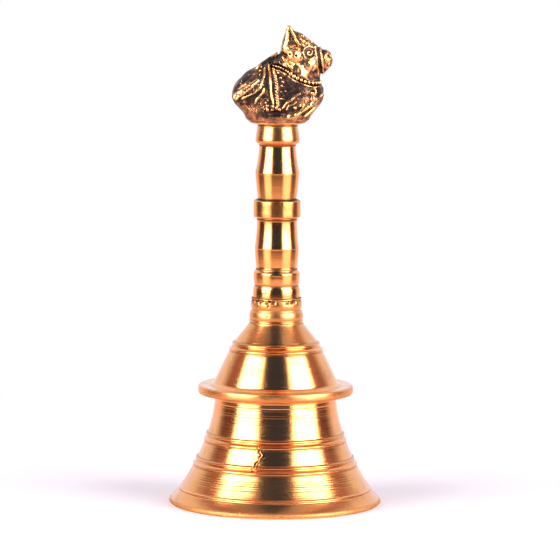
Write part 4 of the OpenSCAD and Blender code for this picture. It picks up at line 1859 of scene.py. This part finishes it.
@dataclass
class Floor:
    """Pale floor: it takes a faint shadow near the bell, and further out the camera sees it plain white.

    From below it is clear, and so is the patch under the bell's mouth, to give a view of the clapper.
    In the brass it shows painted light: further out it glows by itself, bright near the bell and where the
    softboxes would light it, and dims with distance towards the dark front and sides; close by it takes a
    darker, redder painted colour.
    """

    surround: Surround
    near: Colour = (0.68, 0.64, 0.67)
    painted_reflection: Colour = (0.60, 0.45, 0.42)
    painted_glow_tint: Colour = (1.25, 0.95, 0.92)
    dim_from: float = 0.25
    dim_power: float = 2.1
    lit_from: float = 0.6
    lit_power: float = 1.6
    lit_gain: float = 2.1
    nearest: float = 0.01
    fade: Pair = (0.09, 0.28)
    mouth: float = 0.0362
    mouth_edge: float = 0.0005
    turns: int = 64
    rings: int = 24
    radii: Pair = (20.0, 3000.0)
    sink: float = 0.02

    def build(self) -> Piece:
        """Adds the disc and its finish.

        Returns:
            The disc.
        """
        turns, rings = self.turns, self.rings
        radius = np.geomspace(*self.radii, rings)
        angle = np.arange(turns) * (2 * math.pi / turns)
        flat = (radius[:, None, None] * np.stack([np.cos(angle), np.sin(angle)], 1)[None]).reshape(-1, 2)
        points = np.vstack([np.pad(flat, ((0, 0), (0, 1))), [[0, 0, 0]]]) - [0, 0, self.sink]
        index = np.arange(rings * turns).reshape(rings, turns)
        after = np.roll(index, -1, axis=1)
        quads = np.stack([index[:-1], index[1:], after[1:], after[:-1]], 2).reshape(-1, 4)
        centre = np.stack([np.full(turns, rings * turns), index[0], after[0]], 1)
        made = build_mesh("floor", points, [quads, centre])
        made.data.materials.append(self.finish())
        return made

    def finish(self) -> Material:
        """Builds the floor's material.

        Returns:
            The material.
        """
        f = Finish("pale_floor")
        x, y, _ = f.parts(f.place)
        far = (x * x + y * y) ** 0.5
        turn = self.surround.azimuth(x, y)
        box = self.surround.softboxes(turn, 0.0)
        behind = abs(turn).step(*self.surround.back_edge)
        # Painted light: seen only in the brass, the floor further out glows by itself, brighter where the
        # softboxes would light it and dimmer with distance.
        dim = ((self.dim_from / far.high(self.nearest)) ** self.dim_power).low(1.0)
        lit = ((self.lit_from / far.high(self.nearest)) ** self.lit_power).low(1.0) * self.lit_gain
        glow = (1.0 - behind) * (dim * (1.0 - box) + lit * box) + behind
        seen = f.node("ShaderNodeLightPath").outputs["Is Camera Ray"]
        # Painted reflection: in the brass the near floor shows a darker, redder colour than the camera sees.
        near = f.mix(Value(f, seen), self.painted_reflection, self.near)
        f.paint(base_color=near, roughness=0.6, metallic=0.0, specular_ior_level=0.2)
        painted_reflection = f.made("ShaderNodeEmission", {"Color": self.painted_glow_tint, "Strength": glow})
        plain = f.made("ShaderNodeEmission", {"Color": (1.0, 1.0, 1.0), "Strength": 1.0})
        outer = f.made("ShaderNodeMixShader", {0: seen, 1: painted_reflection, 2: plain})
        whole = f.made("ShaderNodeMixShader", {0: far.step(*self.fade), 1: f.shader.outputs[0], 2: outer})
        under = f.node("ShaderNodeNewGeometry").outputs["Backfacing"]
        unseen = Value(f, under).high(1.0 - far.step(self.mouth, self.mouth + self.mouth_edge))
        clear = f.made("ShaderNodeBsdfTransparent", {})
        whole = f.made("ShaderNodeMixShader", {0: unseen, 1: whole, 2: clear})
        f.feed(f.tree.nodes["Material Output"].inputs["Surface"], whole)
        return f.material


@dataclass
class Studio:
    """Pale floor, soft light all round and the camera."""

    camera_distance: float = 1.3
    elevation: float = 6.2
    lens: float = 244.0
    sensor: float = 36.0
    clip: Pair = (0.05, 50.0)
    aim: Point = (0.0012, 0.0, 0.0770)
    roll: float = 0.45
    surround: Surround = field(default_factory=Surround)

    def camera(self) -> Piece:
        """Adds the camera, on the side that the bull's right faces, a little above.

        Returns:
            The camera.
        """
        data = bpy.data.cameras.new("camera")
        data.lens, data.sensor_width = self.lens, self.sensor
        data.clip_start, data.clip_end = self.clip
        made = bpy.data.objects.new("camera", data)
        bpy.context.scene.collection.objects.link(made)
        turn = math.radians(self.elevation)
        back = Vector((0, -math.cos(turn), math.sin(turn)))
        place = Vector(self.aim) + back * self.camera_distance
        look = (-back).to_track_quat("-Z", "Y").to_matrix().to_4x4()
        tilt = Matrix.Rotation(math.radians(self.roll), 4, "Z")
        made.matrix_world = Matrix.Translation(place) @ look @ tilt
        bpy.context.scene.camera = made
        return made

    def build(self) -> None:
        """Adds everything, and sets a plain, contrasty rendering of tones."""
        self.camera()
        self.surround.build()
        Floor(self.surround).build()
        bpy.context.scene.view_settings.view_transform = "Standard"


# -------------------- The whole bell --------------------


def main() -> None:
    """Builds every sub-assembly in order and reports each piece."""
    logging.basicConfig(level=logging.INFO, format="%(message)s")
    shell = TurnedBrass("bell_brass", Polish.MIRROR)
    inside = TurnedBrass("bell_inside_brass", Polish.RAW, tarnish_share=0.8, turn_depth=0.03)
    grip = TurnedBrass("grip_brass", Polish.MIRROR, tarnish_share=0.25)
    clapper = TurnedBrass("clapper_brass", Polish.SATIN, tarnish_share=0.9, turn_depth=0.02)
    steel = TurnedSteel().make()
    grip_material = grip.make()
    made = [
        BellCasting().build([shell.make(), inside.make()]),
        LowerGrip().build([grip_material]),
        UpperGrip().build([grip_material]),
        BullCasting(step=0.22).build(CastBrass().make()),
    ]
    for piece in made:
        LOG.info("%s: %d faces", piece.name, len(piece.data.polygons))
    clapper_material = clapper.make()
    for name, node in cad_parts.items():
        if node.hide_render:
            continue
        node.data.materials.clear()
        node.data.materials.append(clapper_material if name.startswith("clapper") else steel)
        LOG.info("%s: CAD node dressed", name)
    Studio().build()


if __name__ == "__main__":
    main()
